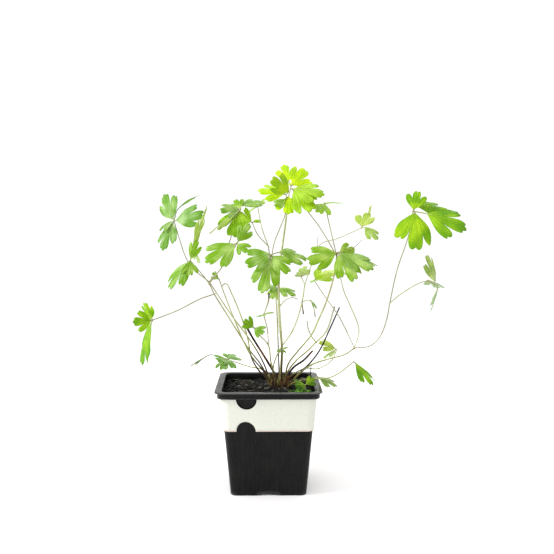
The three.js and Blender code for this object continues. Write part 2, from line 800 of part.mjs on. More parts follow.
// One leaflet: a thin lobed blade that droops along its length and to both sides, in one piece with
// the narrow stalk that joins it to the hub.
function leafletSolid(hub, tip, face, outline, options = {}) {
  const { base, mirror = false, wide = 1, sag = 0.12, fold = 0.1 } = options;
  const root = vec(hub);
  const start = base ? vec(base) : root.clone().lerp(vec(tip), LEAFLET.neck);
  const along = vec(tip).sub(start);
  const length = along.length();
  along.normalize();
  const [up, across] = bladeFrame(along, vec(face), mirror);
  const { halfAngle, edge } = OUTLINES[length < LEAFLET.small ? "plain" : outline];
  const reach = THREE.MathUtils.degToRad(halfAngle);
  const half = LEAFLET.thick / 2;
  const place = (turn, share, lift) => {
    const out = share * length;
    const aside = Math.sin(turn * reach) * wide;
    return start
      .clone()
      .addScaledVector(along, Math.cos(turn * reach) * out)
      .addScaledVector(across, aside * out)
      .addScaledVector(up, lift - out * (sag * share + fold * Math.abs(aside)));
  };
  const neckward = start.clone().sub(root).normalize();
  root.addScaledVector(neckward, half);
  const rootFrame = bladeFrame(neckward, up, mirror);
  const bendFrame = bladeFrame(neckward.clone().add(along).normalize(), up, mirror);
  const beside = (point, frame, offset, lift) =>
    point.clone().addScaledVector(frame[1], offset).addScaledVector(frame[0], lift);
  const leafSide = (lift) => [
    place(0, LEAFLET.middle, lift),
    beside(start, bendFrame, half, lift),
    beside(root, rootFrame, half, lift),
    beside(root, rootFrame, -half, lift),
    beside(start, bendFrame, -half, lift),
    ...edge.map(([turn, share]) => place(turn, share, lift)),
  ];
  const top = leafSide(half);
  const bottom = leafSide(-half);
  const count = top.length;
  const faces = [[1, 2, 3], [1, 3, 4], [0, 1, 4]];
  for (let i = 4; i < count; i += 1) faces.push([0, i, i + 1 < count ? i + 1 : 1]);
  const triangles = faces.flatMap(([a, b, c]) => [[a, b, c], [count + a, count + c, count + b]]);
  for (let i = 1; i < count; i += 1) {
    const next = i + 1 < count ? i + 1 : 1;
    triangles.push([i, count + i, next], [next, count + i, count + next]);
  }
  const outward = mirror ? triangles : triangles.map(([a, b, c]) => [a, c, b]);
  return solid(meshOf([...top, ...bottom].map((point) => point.toArray()), outward));
}

function leafSolid({ radii, stalk, sprays }) {
  const pieces = [solid(tube(stalk, radii[0], radii[1], STALK.sides, steps(stalk, STALK.step)))];
  for (const { route, leaflets } of sprays) {
    const radius = Math.min(radii[1], STALK.sprayRadius);
    const segments = steps(route, STALK.sprayStep);
    pieces.push(solid(tube(route, radius, STALK.tipRadius, STALK.sides, segments, STALK.sink)));
    const hub = route[route.length - 1];
    pieces.push(solid(new THREE.OctahedronGeometry(STALK.knuckle).translate(...hub)));
    for (const leaflet of leaflets) pieces.push(leafletSolid(hub, ...leaflet));
  }
  return largest(union(pieces));
}

function bareStalkSolid({ radii, stalk, side, bud }) {
  const pieces = [solid(tube(stalk, radii[0], radii[1], STALK.sides, steps(stalk, STALK.step)))];
  if (side) {
    const segments = steps(side, STALK.step);
    pieces.push(solid(tube(side, radii[1], STALK.tipRadius, STALK.sides, segments, STALK.sink)));
  }
  if (bud) {
    const tip = stalk[stalk.length - 1];
    pieces.push(solid(new THREE.OctahedronGeometry(STALK.knuckle).translate(...tip)));
    pieces.push(leafletSolid(tip, bud, [0, -1, 1], "plain", { fold: 0.4 }));
  }
  return largest(union(pieces));
}

// ---------------------------------------------------------------- the scene

const columbine = new THREE.Group();

function add(name, made, color, roughness, at = [0, 0, 0]) {
  const geometry = geometryOf(made).translate(-at[0], -at[1], -at[2]);
  const material = new THREE.MeshStandardMaterial({ color, roughness, metalness: 0 });
  const mesh = new THREE.Mesh(geometry, material);
  mesh.name = name;
  mesh.position.set(...at);
  columbine.add(mesh);
}

const inSoil = [LEAVES.leaf_soil, BARE_STALKS.grass_blade];
const rooted = [...Object.values(LEAVES), ...Object.values(BARE_STALKS)];
const inCrown = rooted.filter((one) => !inSoil.includes(one));
const soilHoles = [crownHole(inCrown), ...inSoil.map(socket)];

add("pot", makePot(), 0x17181a, 0.45);
add("sleeve", makeSleeve(), 0xeef0e2, 0.8);
add("soil", makeSoil(soilHoles), 0x2a2019, 0.95);
add("crown", makeCrown(inCrown), 0x7a5a3a, 0.8, [CROWN.x, CROWN.y, CROWN.bottom]);
for (const [name, leaf] of Object.entries(LEAVES)) {
  add(name, leafSolid(leaf), leaf.colour, 0.6, leaf.stalk[0]);
}
for (const [name, bare] of Object.entries(BARE_STALKS)) {
  add(name, bareStalkSolid(bare), bare.colour, 0.8, bare.stalk[0]);
}

export default columbine;
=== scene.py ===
# %% [markdown]
# # A columbine in its nursery pot
#
# A young columbine is sold in a square black pot with a card sleeve round it. The plant is a bunch of
# thin stalks that rise from one crown, and each stalk carries a leaf that is cut into lobed leaflets.
#
# The engineering model gives every part a plain solid. Here each solid gets the shape and finish that
# the eye expects: round stalks, thin veined leaflets, crumbly soil and moulded plastic. We start by
# loading those solids, because every new piece has to stay where its solid is.

# %% Load the solids
import math
import random

import bmesh
import bpy
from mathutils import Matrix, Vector, noise


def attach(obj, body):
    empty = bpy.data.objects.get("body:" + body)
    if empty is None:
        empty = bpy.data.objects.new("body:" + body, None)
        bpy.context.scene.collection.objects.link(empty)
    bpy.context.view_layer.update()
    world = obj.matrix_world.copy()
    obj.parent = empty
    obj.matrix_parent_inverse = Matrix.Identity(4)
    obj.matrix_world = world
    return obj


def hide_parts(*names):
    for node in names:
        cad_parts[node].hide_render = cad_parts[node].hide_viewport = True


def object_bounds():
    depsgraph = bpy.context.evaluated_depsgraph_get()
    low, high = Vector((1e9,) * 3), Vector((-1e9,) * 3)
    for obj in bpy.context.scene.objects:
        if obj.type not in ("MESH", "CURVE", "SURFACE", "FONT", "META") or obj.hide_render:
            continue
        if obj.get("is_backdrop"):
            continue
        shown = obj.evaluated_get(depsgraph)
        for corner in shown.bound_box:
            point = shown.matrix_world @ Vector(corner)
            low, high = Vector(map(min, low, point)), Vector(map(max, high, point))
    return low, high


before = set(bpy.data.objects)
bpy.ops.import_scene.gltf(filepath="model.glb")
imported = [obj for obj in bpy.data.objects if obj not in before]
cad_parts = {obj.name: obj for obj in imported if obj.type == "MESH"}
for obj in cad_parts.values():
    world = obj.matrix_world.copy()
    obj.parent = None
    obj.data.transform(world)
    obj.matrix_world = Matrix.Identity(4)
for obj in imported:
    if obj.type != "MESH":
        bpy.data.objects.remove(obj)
solids_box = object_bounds()
MM = 0.001
print("solids:", len(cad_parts), "box in mm:", [[round(v / MM, 1) for v in end] for end in solids_box])

# %% [markdown]
# ## Where we look from
#
# The camera stands about 60 cm in front of the pot and above its rim, with the lens tipped down
# slightly and turned a touch to the right. A camera in Blender looks along its own -Z, so turning it by
# 90 degrees about X makes it look at the horizon; taking a little off that tips it down.

# %% The camera
CAMERA_AT = (0, -0.625, 0.225)
TIPPED_DOWN, TURNED_RIGHT = 0.068, 0.012
SENSOR, LENS = 36, 46.8

eye = bpy.data.cameras.new("eye")
eye.sensor_width = SENSOR
eye.lens = LENS
camera = bpy.data.objects.new("eye", eye)
camera.location = CAMERA_AT
camera.rotation_euler = (math.pi / 2 - TIPPED_DOWN, 0, -TURNED_RIGHT)
bpy.context.scene.collection.objects.link(camera)
bpy.context.scene.camera = camera
print("camera", CAMERA_AT, "lens", LENS, "mm")

# %% [markdown]
# ## Light that hides nothing
#
# Leaves are shown against white, with light from all round, so that their thin blades glow. A white
# world gives the even light. A small lamp at the upper left adds shape and a faint shadow, and a wide
# one behind and above shines through the blades. The view transform is Standard, because the default
# one greys pure whites and bright greens.

# %% The world and the lamps
WORLD_LIGHT = 1.1
LAMPS = {
    "key": ((-1.0, -0.25, 0.75), 0.35, 15),
    "behind": ((0.25, 0.8, 0.95), 0.8, 8),
}
AIM = Vector((0, 0, 0.13))

scene = bpy.context.scene
scene.view_settings.view_transform = "Standard"
world = bpy.data.worlds.new("white room")
scene.world = world
world.use_nodes = True
sky = world.node_tree.nodes["Background"].inputs
sky["Color"].default_value = (1, 1, 1, 1)
sky["Strength"].default_value = WORLD_LIGHT
for lamp_name, (place, width, watts) in LAMPS.items():
    lamp = bpy.data.lights.new(lamp_name, "AREA")
    lamp.size = width
    lamp.energy = watts
    holder = bpy.data.objects.new(lamp_name, lamp)
    holder.location = place
    holder.rotation_euler = (AIM - Vector(place)).to_track_quat("-Z", "Y").to_euler()
    scene.collection.objects.link(holder)
print("lamps:", list(LAMPS))

# %% [markdown]
# ## Building finishes from nodes
#
# A finish in Blender is a small network: patterns feed colours, and colours feed a shader. A few short
# helpers keep the networks readable. `node` adds one box and fills its sockets, `ramp` turns a number
# into a colour and `greys` into a brightness, and `mixed` blends two colours.

# %% Helpers for finishes
def finish(name, **sockets):
    """A new material; the sockets given are set on its Principled shader."""
    made = bpy.data.materials.new(name)
    made.use_nodes = True
    shader = made.node_tree.nodes["Principled BSDF"]
    for socket, value in sockets.items():
        shader.inputs[socket.replace("_", " ")].default_value = value
    return made, made.node_tree, shader


def node(tree, kind, out=0, inputs=None, **fields):
    """Adds a node and returns one of its outputs; an input given as an output is linked."""
    made = tree.nodes.new("ShaderNode" + kind)
    for field, value in fields.items():
        setattr(made, field, value)
    for key, value in (inputs or {}).items():
        if isinstance(value, bpy.types.NodeSocket):
            tree.links.new(value, made.inputs[key])
        else:
            made.inputs[key].default_value = value
    return made.outputs[out]


def ramp(tree, value, *stops):
    """A colour ramp through (position, colour) stops."""
    made = tree.nodes.new("ShaderNodeValToRGB")
    tree.links.new(value, made.inputs[0])
    elements = made.color_ramp.elements
    while len(elements) < len(stops):
        elements.new(1)
    for element, (position, colour) in zip(elements, stops):
        element.position = position
        element.color = (*colour, 1)
    return made.outputs[0]


def greys(tree, value, *stops):
    """A ramp from black to white through (position, brightness) stops."""
    return ramp(tree, value, *((position, (grey,) * 3) for position, grey in stops))


def mixed(tree, share, one, other, way="MIX"):
    """Blends two colours; share 0 gives the first and 1 the second."""
    made = tree.nodes.new("ShaderNodeMix")
    made.data_type = "RGBA"
    made.blend_type = way
    for index, value in ((0, share), (6, one), (7, other)):
        if isinstance(value, bpy.types.NodeSocket):
            tree.links.new(value, made.inputs[index])
        else:
            made.inputs[index].default_value = value if index == 0 else (*value, 1)
    return made.outputs[2]


print("helpers: finish, node, ramp, greys, mixed")

# %% [markdown]
# ### Patterns and sums
#
# Noise is placed by Object coordinates, which here are metres in the part's own frame, so a scale of
# 400 gives specks about 2.5 mm apart. Other patterns come from sums on what the points carry. A pattern
# can colour a surface, and it can also tilt it a little, which is called bump.

# %% Helpers for patterns
def specks(tree, scale, detail=3, where=None, stretch=None):
    """Noise of a given fineness in object space, stretched along an axis if asked."""
    place = where or node(tree, "TexCoord", "Object")
    if stretch:
        place = node(tree, "Mapping", inputs={"Vector": place, "Scale": stretch})
    return node(tree, "TexNoise", inputs={"Vector": place, "Scale": scale, "Detail": detail})


def maths(tree, operation, one, other):
    return node(tree, "Math", inputs={0: one, 1: other}, operation=operation)


def rising(tree, value, low, high):
    """0 where the value is at `low`, 1 where it is at `high`, and even in between."""
    return node(tree, "MapRange", inputs={"Value": value, "From Min": low, "From Max": high})


def carried(tree, name, out="Color"):
    """What the points of a piece carry under this name."""
    return node(tree, "Attribute", out, attribute_name=name)


def painted(tree, shader, colour):
    tree.links.new(colour, shader.inputs["Base Color"])


def bumpy(tree, shader, height, depth):
    """Gives the shader a bump, with its depth in metres."""
    normal = node(tree, "Bump", inputs={"Height": height, "Distance": depth, "Strength": 1})
    tree.links.new(normal, shader.inputs["Normal"])


print("helpers: specks, maths, rising, carried, painted, bumpy")

# %% [markdown]
# ## The floor
#
# The pot stands on a plain white sheet. It needs no shape, only a matt white with a trace of mottling,
# which keeps the pot's shadow faint. It isn't part of the plant, so it is marked as stage.

# %% The floor
FLOOR_HALF = 0.9

floor_mesh = bpy.data.meshes.new("floor")
corners = [(-1, -1), (1, -1), (1, 1), (-1, 1)]
floor_mesh.from_pydata([(x * FLOOR_HALF, y * FLOOR_HALF, 0) for x, y in corners], [], [(0, 1, 2, 3)])
floor = bpy.data.objects.new("floor", floor_mesh)
scene.collection.objects.link(floor)
white_sheet, tree, shader = finish("white_sheet", Roughness=0.9)
painted(tree, shader, ramp(tree, specks(tree, 3), (0, (0.82, 0.805, 0.81)), (1, (0.85, 0.835, 0.84))))
floor_mesh.materials.append(white_sheet)
floor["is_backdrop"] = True
print("floor", 2 * FLOOR_HALF, "m wide")

# %% [markdown]
# ## Pieces as lists of points
#
# Most pieces here are skins over rings of points, which is how a moulder or a botanist would draw
# them too: a pot is a stack of rounded squares, and a stalk is a stack of small circles. We collect the
# points in millimetres in a `Shape`, and turn it into a mesh in metres at the end. Every point also
# carries a tint and a place on its own leaf or stalk, which the finishes read later as attributes.

# %% The Shape
class Shape:
    """Points, faces and what each point carries, gathered for one piece."""

    def __init__(self):
        self.points, self.faces, self.tints, self.plans, self.finishes = [], [], [], [], []

    def add(self, points, faces, tints=None, plans=None, finish_index=0):
        first = len(self.points)
        self.points += [tuple(point) for point in points]
        self.faces += [tuple(first + i for i in face) for face in faces]
        self.finishes += [finish_index] * len(faces)
        self.tints += tints or [(1, 1, 1)] * len(points)
        self.plans += plans or [(0, 0, 0)] * len(points)


print("a new Shape has", len(Shape().points), "points")

# %% [markdown]
# ### From a Shape to a piece
#
# A piece is a Blender object with a mesh and its finishes. It rides on the plant's root body, and the
# solids it stands for are hidden. `skin` joins a stack of rings with faces.

# %% Pieces and skins
def make_piece(name, shape, finishes, slot, *nodes):
    """Turns a Shape into an object that rides on the plant and stands for the given solids."""
    mesh = bpy.data.meshes.new(name)
    mesh.from_pydata([(x * MM, y * MM, z * MM) for x, y, z in shape.points], [], shape.faces)
    tint = mesh.attributes.new("tint", "FLOAT_COLOR", "POINT")
    tint.data.foreach_set("color", [value for rgb in shape.tints for value in (*rgb, 1)])
    plan = mesh.attributes.new("plan", "FLOAT_VECTOR", "POINT")
    plan.data.foreach_set("vector", [value for xyz in shape.plans for value in xyz])
    for material in finishes:
        mesh.materials.append(material)
    mesh.polygons.foreach_set("material_index", shape.finishes)
    mesh.polygons.foreach_set("use_smooth", [True] * len(mesh.polygons))
    mesh.validate()
    made = bpy.data.objects.new(name, mesh)
    scene.collection.objects.link(made)
    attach(made, "root")
    if nodes:
        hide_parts(*nodes)
    print(f"{name}: {len(mesh.polygons)} faces")
    return made


def skin(shape, rings, tints=None, closed=True, plans=None):
    """Joins rings of equally many points with faces, and closes both ends if asked."""
    count = len(rings[0])
    faces = []
    for r in range(len(rings) - 1):
        for i in range(count):
            a, b = r * count + i, r * count + (i + 1) % count
            faces.append((a, a + count, b + count, b))
    points = [point for ring in rings for point in ring]
    if closed:
        faces.append(tuple(range(count)))
        faces.append(tuple(reversed(range(len(points) - count, len(points)))))
    shape.add(points, faces, tints, plans)


print("helpers: make_piece, skin")

# %% [markdown]
# ## The pot
#
# A nursery pot is blown or injected in thin black plastic: a square cup that tapers downwards, with a
# wide flange, a short skirt under it, faint flutes in its lower walls that stiffen them, and a foot
# ring with an arch in each side where water runs out. It could be bevelled out of a box, but a stack
# of rounded squares gives every one of those sizes directly, and the arches are just a lift of the
# lowest rings.

# %% The pot's sizes and its rounded square
RIM, RIM_TOP, FLANGE = 90, 90, 1.0
BASE, SHOULDER, WALL = 64.5, 80.5, 1.2
BASE_CORNER, SHOULDER_CORNER, RIM_CORNER, LEAST_CORNER = 6, 7, 8.5, 0.6
SIDE_STEPS, CORNER_STEPS = 84, 8


def square_ring(across, corner, z):
    """A square with round corners, anticlockwise from the middle of its +X side."""
    half, flat = across / 2, across / 2 - corner
    quarter = []
    half_steps = SIDE_STEPS // 2
    for step in range(half_steps):
        quarter.append((half, flat * step / half_steps))
    for step in range(CORNER_STEPS):
        turn = math.pi / 2 * step / CORNER_STEPS
        quarter.append((flat + corner * math.cos(turn), flat + corner * math.sin(turn)))
    for step in range(half_steps):
        quarter.append((flat - flat * step / half_steps, half))
    ring = []
    for _ in range(4):
        ring += [(x, y, z) for x, y in quarter]
        quarter = [(-y, x) for x, y in quarter]
    return ring


def wall_size(z):
    """How wide the pot is at height z, and how round its corners."""
    share = z / (RIM_TOP - FLANGE)
    return BASE + (SHOULDER - BASE) * share, BASE_CORNER + (SHOULDER_CORNER - BASE_CORNER) * share


def wall_ring(z, inset):
    across, corner = wall_size(z)
    return square_ring(across - 2 * inset, max(corner - inset, LEAST_CORNER), z)


print("points round the pot:", len(square_ring(RIM, RIM_CORNER, 0)))

# %% [markdown]
# The flutes are a shallow wave in the wall, about 0.3 mm deep and 4 mm apart. They fade out towards
# the corners, the foot and the sleeve, as a mould maker would run them out. The arches are a parabola
# that lifts the rings at the very bottom.

# %% Flutes and arches
FLUTE_STEP, FLUTE_DEPTH = 4.1, 0.28
FLUTES_FROM, FLUTES_TO, FLUTE_FADE = 6, 54, 5
FLUTE_MARGIN, MARGIN_FADE = 7, 3
ARCH_WIDTH, ARCH_RISE = 20, 2.6


def fluted(ring, z):
    """The ring with its four sides pressed in along each flute."""
    fade = min(1, max(0, min(z - FLUTES_FROM, FLUTES_TO - z) / FLUTE_FADE))
    out = []
    for x, y, _ in ring:
        along, side = (y, x) if abs(x) > abs(y) else (x, y)
        reach = min(1, max(0, (wall_size(z)[0] / 2 - FLUTE_MARGIN - abs(along)) / MARGIN_FADE))
        wave = 0.5 - 0.5 * math.cos(2 * math.pi * along / FLUTE_STEP)
        press = 1 - FLUTE_DEPTH * fade * reach * wave / abs(side)
        out.append((x * press, y, z) if abs(x) > abs(y) else (x, y * press, z))
    return out


def arched(ring):
    """The ring with its points lifted where the drainage arches are."""
    out = []
    for x, y, z in ring:
        along = min(abs(x), abs(y))
        lift = ARCH_RISE * max(0, 1 - (2 * along / ARCH_WIDTH) ** 2)
        out.append((x, y, max(z, lift)))
    return out


print("flutes every", FLUTE_STEP, "mm, arches", ARCH_RISE, "mm high")

# %% [markdown]
# One list of rings makes the whole pot. It runs up the inside, over the lip, round the skirt, down the
# outside, and round the foot ring to the underside of the floor. Small steps at each edge make it round.

# %% The pot's skin
SKIRT_ACROSS, SKIRT_CORNER, SKIRT_DROP, SKIRT_THICK = 85.5, 6.5, 5.5, 0.9
FOOT_LIFT, FOOT_WIDTH = 3.2, 3
FLOOR_TOP = FOOT_LIFT + WALL
UNDER_FLANGE = RIM_TOP - FLANGE
SKIRT_FOOT = RIM_TOP - SKIRT_DROP
ROUND = 0.35
WALL_HEIGHTS = (70, 56, 54, 52.5, 50.5, 48, 40, 32, 24, 16, 11, 9, 7.5, 6, 4)
FOOT_EDGE = ((0.4, 0), (0.1, 0.12), (0, 0.4), (0, FOOT_WIDTH - 0.4), (0.3, FOOT_WIDTH))


def skirt_ring(inset, z):
    return square_ring(SKIRT_ACROSS - 2 * inset, SKIRT_CORNER - inset, z)


pot = Shape()
pot_rings = [wall_ring(FLOOR_TOP, WALL), wall_ring(UNDER_FLANGE - 3, WALL), wall_ring(UNDER_FLANGE, WALL)]
pot_rings += [wall_ring(RIM_TOP - 0.3, WALL - 0.1), wall_ring(RIM_TOP, WALL - 0.5)]
pot_rings += [
    square_ring(RIM - 2 * ROUND, RIM_CORNER - ROUND, RIM_TOP),
    square_ring(RIM - 0.2, RIM_CORNER - 0.1, RIM_TOP - 0.15),
    square_ring(RIM, RIM_CORNER, RIM_TOP - 0.5),
    square_ring(RIM - 0.2, RIM_CORNER - 0.1, UNDER_FLANGE + 0.1),
    square_ring(RIM - 2 * ROUND, RIM_CORNER - ROUND, UNDER_FLANGE),
    skirt_ring(-0.3, UNDER_FLANGE),
    skirt_ring(0, UNDER_FLANGE - 0.4),
    skirt_ring(0, SKIRT_FOOT + 0.3),
    skirt_ring(0.25, SKIRT_FOOT),
    skirt_ring(SKIRT_THICK - 0.2, SKIRT_FOOT),
    skirt_ring(SKIRT_THICK, SKIRT_FOOT + 0.3),
    skirt_ring(SKIRT_THICK, UNDER_FLANGE),
    wall_ring(UNDER_FLANGE, 0),
]
pot_rings += [fluted(wall_ring(z, 0), z) for z in WALL_HEIGHTS]
pot_rings += [arched(wall_ring(z, inset)) for z, inset in FOOT_EDGE]
pot_rings.append(wall_ring(FOOT_LIFT, FOOT_WIDTH))
skin(pot, pot_rings)
print("rings in the pot:", len(pot_rings))

# %% [markdown]
# ### The pot's plastic
#
# Recycled black polypropylene is near black, with a satin surface. It shows faint vertical drag lines
# from the mould and a little grey dust, and its edges are painted paler as highlights. The drag lines
# are noise stretched along Z. The painted edge highlights come from Geometry's Pointiness, which is
# high where a surface is convex. On top of the lip a greyer colour stands for dust and for a painted
# sheen, so the height of a point there picks it.

# %% Black plastic
DUST_SHEEN_FROM, DUST_SHEEN_FULL = 89, 89.9

pot_plastic, tree, shader = finish("pot_plastic", Roughness=0.42, Specular_IOR_Level=0.12)
drag = specks(tree, 900, 2, stretch=(1, 1, 0.03))
dust_and_sheen = specks(tree, 60, 5)
# Painted edge highlights: Pointiness picks the convex edges, which are painted a paler grey.
edge_highlight_mask = greys(tree, node(tree, "NewGeometry", "Pointiness"), (0.52, 0), (0.58, 1))
black = ramp(tree, dust_and_sheen, (0.35, (0.002, 0.002, 0.002)), (0.75, (0.006, 0.006, 0.0055)))
dragged = ramp(tree, drag, (0.3, (0.0005, 0.0005, 0.0005)), (0.7, (0.014, 0.0145, 0.014)))
highlit_edges = mixed(tree, edge_highlight_mask, mixed(tree, 0.3, black, dragged), (0.055, 0.06, 0.06))
height = node(tree, "SeparateXYZ", "Z", {"Vector": node(tree, "TexCoord", "Object")})
# Dust and a painted sheen: the top of the lip is painted greyer, broken up by the dust noise.
on_lip = rising(tree, height, DUST_SHEEN_FROM * MM, DUST_SHEEN_FULL * MM)
lip_dust_and_sheen = mixed(tree, on_lip, (0, 0, 0), greys(tree, dust_and_sheen, (0.35, 0.4), (0.65, 1)))
painted(tree, shader, mixed(tree, lip_dust_and_sheen, highlit_edges, (0.028, 0.029, 0.026)))
tree.links.new(greys(tree, dust_and_sheen, (0.3, 0.2), (0.8, 0.4)), shader.inputs["Roughness"])
bumpy(tree, shader, drag, 0.00006)
print("finish:", pot_plastic.name)

# %% [markdown]
# The drainage holes and the round foot under the floor are cut and joined with Boolean modifiers,
# which is the simplest way to put a round hole in a flat floor. They are applied at once, so that the
# piece is an ordinary mesh.

# %% Holes, round foot and the finished pot
FOOT_CENTRE, DRAIN_RADIUS, DRAIN_OFFSET = 7, 3.5, 19


def post(x, y, radius, low, high):
    """A temporary upright cylinder."""
    bm = bmesh.new()
    bmesh.ops.create_cone(
        bm, cap_ends=True, segments=48, radius1=radius * MM, radius2=radius * MM, depth=(high - low) * MM
    )
    bmesh.ops.translate(bm, verts=bm.verts, vec=(x * MM, y * MM, (low + high) / 2 * MM))
    mesh = bpy.data.meshes.new("post")
    bm.to_mesh(mesh)
    bm.free()
    made = bpy.data.objects.new("post", mesh)
    scene.collection.objects.link(made)
    return made


def combine(piece, tool, way):
    """Applies one Boolean and removes the tool."""
    cut = piece.modifiers.new(way, "BOOLEAN")
    cut.operation = way
    cut.solver = "EXACT"
    cut.object = tool
    graph = bpy.context.evaluated_depsgraph_get()
    done = bpy.data.meshes.new_from_object(piece.evaluated_get(graph))
    piece.modifiers.clear()
    piece.data = done
    bpy.data.objects.remove(tool)


pot_piece = make_piece("pot_shell", pot, [pot_plastic], "pot_plastic", "pot")
for i, j in corners:
    drain = post(i * DRAIN_OFFSET, j * DRAIN_OFFSET, DRAIN_RADIUS, -1, FLOOR_TOP + 1)
    combine(pot_piece, drain, "DIFFERENCE")
combine(pot_piece, post(0, 0, FOOT_CENTRE, 0, FLOOR_TOP - WALL / 2), "UNION")
print("pot after its holes:", len(pot_piece.data.polygons), "faces")

# %% [markdown]
# ## The card sleeve
#
# A band of thin card is slipped round the upper half of the pot. It has a half-round notch in its top
# and bottom edge, and its two ends overlap in a glued flap on the right side. Card has no thickness to
# speak of, yet a single sheet of faces looks like paint, so the band gets two skins 0.5 mm apart. The
# notches need no cutting: the edges of the band simply follow a circle where they meet one.

# %% The sleeve
SLEEVE_TOP, SLEEVE_FOOT, CARD = 84, 56.5, 0.5
CLEAR = 0.3
NOTCH_RADIUS, NOTCH_TOP_X, NOTCH_FOOT_X, NOTCH_STEPS = 8.5, -18, -19.5, 40
RIPPLE, RIPPLE_SCALE = 0.12, 0.06
FLAP_THICK, FLAP_FROM, FLAP_TO = 0.3, 4, 24
CARD_ROWS = 10


def notch(x, centre):
    """How far a notch reaches into the band at x."""
    return math.sqrt(max(0, NOTCH_RADIUS**2 - (x - centre) ** 2))


def card_places():
    """The sleeve's run round the pot as (x, y) places, closer together at the notches."""
    places = [(x, y) for x, y, _ in wall_ring(SLEEVE_TOP, 0)]
    extra = []
    for centre in (NOTCH_TOP_X, NOTCH_FOOT_X):
        for step in range(NOTCH_STEPS + 1):
            extra.append(centre - NOTCH_RADIUS * math.cos(math.pi * step / NOTCH_STEPS))
    front = -wall_size(SLEEVE_TOP)[0] / 2
    limit = -front - wall_size(SLEEVE_TOP)[1]
    start = next(i for i, (x, y) in enumerate(places) if y == front and x > -limit)
    end = next(i for i, (x, y) in enumerate(places) if i > start and y == front and x > limit - 1)
    across = sorted({round(x, 3) for x, _ in places[start:end]} | {round(x, 3) for x in extra})
    across = [x for x in across if -limit < x < limit]
    return places[:start] + [(x, front) for x in across] + places[end:]


def card_ring(share, out, places):
    """The band's points at a share of its height, `out` mm off the pot's wall."""
    ring = []
    reference = wall_size(SLEEVE_TOP)[0]
    for x, y in places:
        on_front = y < 0 and abs(y) >= abs(x)
        top = SLEEVE_TOP - (notch(x, NOTCH_TOP_X) if on_front else 0)
        foot = SLEEVE_FOOT + (notch(x, NOTCH_FOOT_X) if on_front else 0)
        z = foot + (top - foot) * share
        ripple = RIPPLE * noise.noise(Vector((x, y, z)) * RIPPLE_SCALE)
        flap = FLAP_THICK if x > 0 and abs(y) < abs(x) and FLAP_FROM < y < FLAP_TO else 0
        grow = (wall_size(z)[0] + 2 * (out + (ripple + flap if out > CLEAR else 0))) / reference
        ring.append((x * grow, y * grow, z))
    return ring


sleeve = Shape()
places = card_places()
shares = [i / CARD_ROWS for i in range(CARD_ROWS + 1)]
outer = [card_ring(share, CLEAR + CARD, places) for share in reversed(shares)]
inner = [card_ring(share, CLEAR, places) for share in shares]
skin(sleeve, [*outer, *inner, outer[0]], closed=False)
print("points round the sleeve:", len(places))

# %% [markdown]
# ### The sleeve's card
#
# Uncoated card is warm white with fine fibres. A thin line in a pale salmon is printed along its lower
# edge. The Z of the Object coordinates is the height of a point, so a range of it draws the line. The
# print that such sleeves carry is left off.

# %% White card
LINE_TOP, LINE_BLUR = SLEEVE_FOOT + 0.9, 0.5

sleeve_card, tree, shader = finish("sleeve_card", Roughness=0.78, Specular_IOR_Level=0.3)
fibres = specks(tree, 1400, 4, stretch=(1, 1, 0.35))
clouds = specks(tree, 45, 3)
card_white = ramp(tree, fibres, (0.3, (0.58, 0.6, 0.53)), (0.7, (0.66, 0.68, 0.6)))
shaded = mixed(tree, greys(tree, clouds, (0.4, 0), (0.75, 0.5)), card_white, (0.62, 0.63, 0.56))
height = node(tree, "SeparateXYZ", "Z", {"Vector": node(tree, "TexCoord", "Object")})
line = rising(tree, height, LINE_TOP * MM, LINE_TOP * MM - LINE_BLUR * MM)
painted(tree, shader, mixed(tree, maths(tree, "MULTIPLY", line, 0.6), shaded, (0.62, 0.36, 0.3)))
bumpy(tree, shader, fibres, 0.00003)
make_piece("card_sleeve", sleeve, [sleeve_card], "sleeve_card", "sleeve")

# %% [markdown]
# ## The soil
#
# Potting soil is a heap of dark crumbs, bark chips and pale root fibres. One displaced surface makes
# the ground they lie on: its rings shrink from the pot's wall to the middle, and layers of noise lift
# and lower their points. The crumbs are real little lumps that are strewn over it, because bump alone
# stays flat against the light at the rim.

# %% The ground
SOIL_TOP, SOIL_BUMP = 84.5, 1.1
CROWN_X, CROWN_Y, CROWN_RISE, CROWN_SPREAD = 10, 6.5, 0.8, 20
COARSE, COARSE_SCALE, FINE, FINE_SCALE, GRIT_DROP = 0.7, 0.45, 0.9, 1.3, 0.3
ELSEWHERE = Vector((9, 3, 1))
SOIL_RINGS, EDGE_DROP, EDGE_FROM, EDGE_WIDTH, SOIL_CORNER = 60, 1.2, 0.93, 0.07, 0.3
SOIL_WALL_HEIGHTS = (81, 60, 30, FLOOR_TOP + CLEAR)


def mounds(x, y):
    """The low mounds of the soil: crossed waves, a little higher round the crown."""
    waves = math.sin(x * 0.31 + 1) * math.cos(y * 0.27 - 0.6) + 0.6 * math.sin(x * 0.73 + y * 0.58)
    away = math.hypot(x - CROWN_X, y - CROWN_Y)
    return SOIL_TOP + SOIL_BUMP * waves + CROWN_RISE * math.exp(-((away / CROWN_SPREAD) ** 2))


def ground(x, y):
    """The soil's surface with its crumbs."""
    spot = Vector((x, y, 0))
    coarse = noise.noise(spot * COARSE_SCALE) * COARSE
    fine = abs(noise.noise(spot * FINE_SCALE + ELSEWHERE)) * FINE
    return mounds(x, y) + coarse + fine - GRIT_DROP


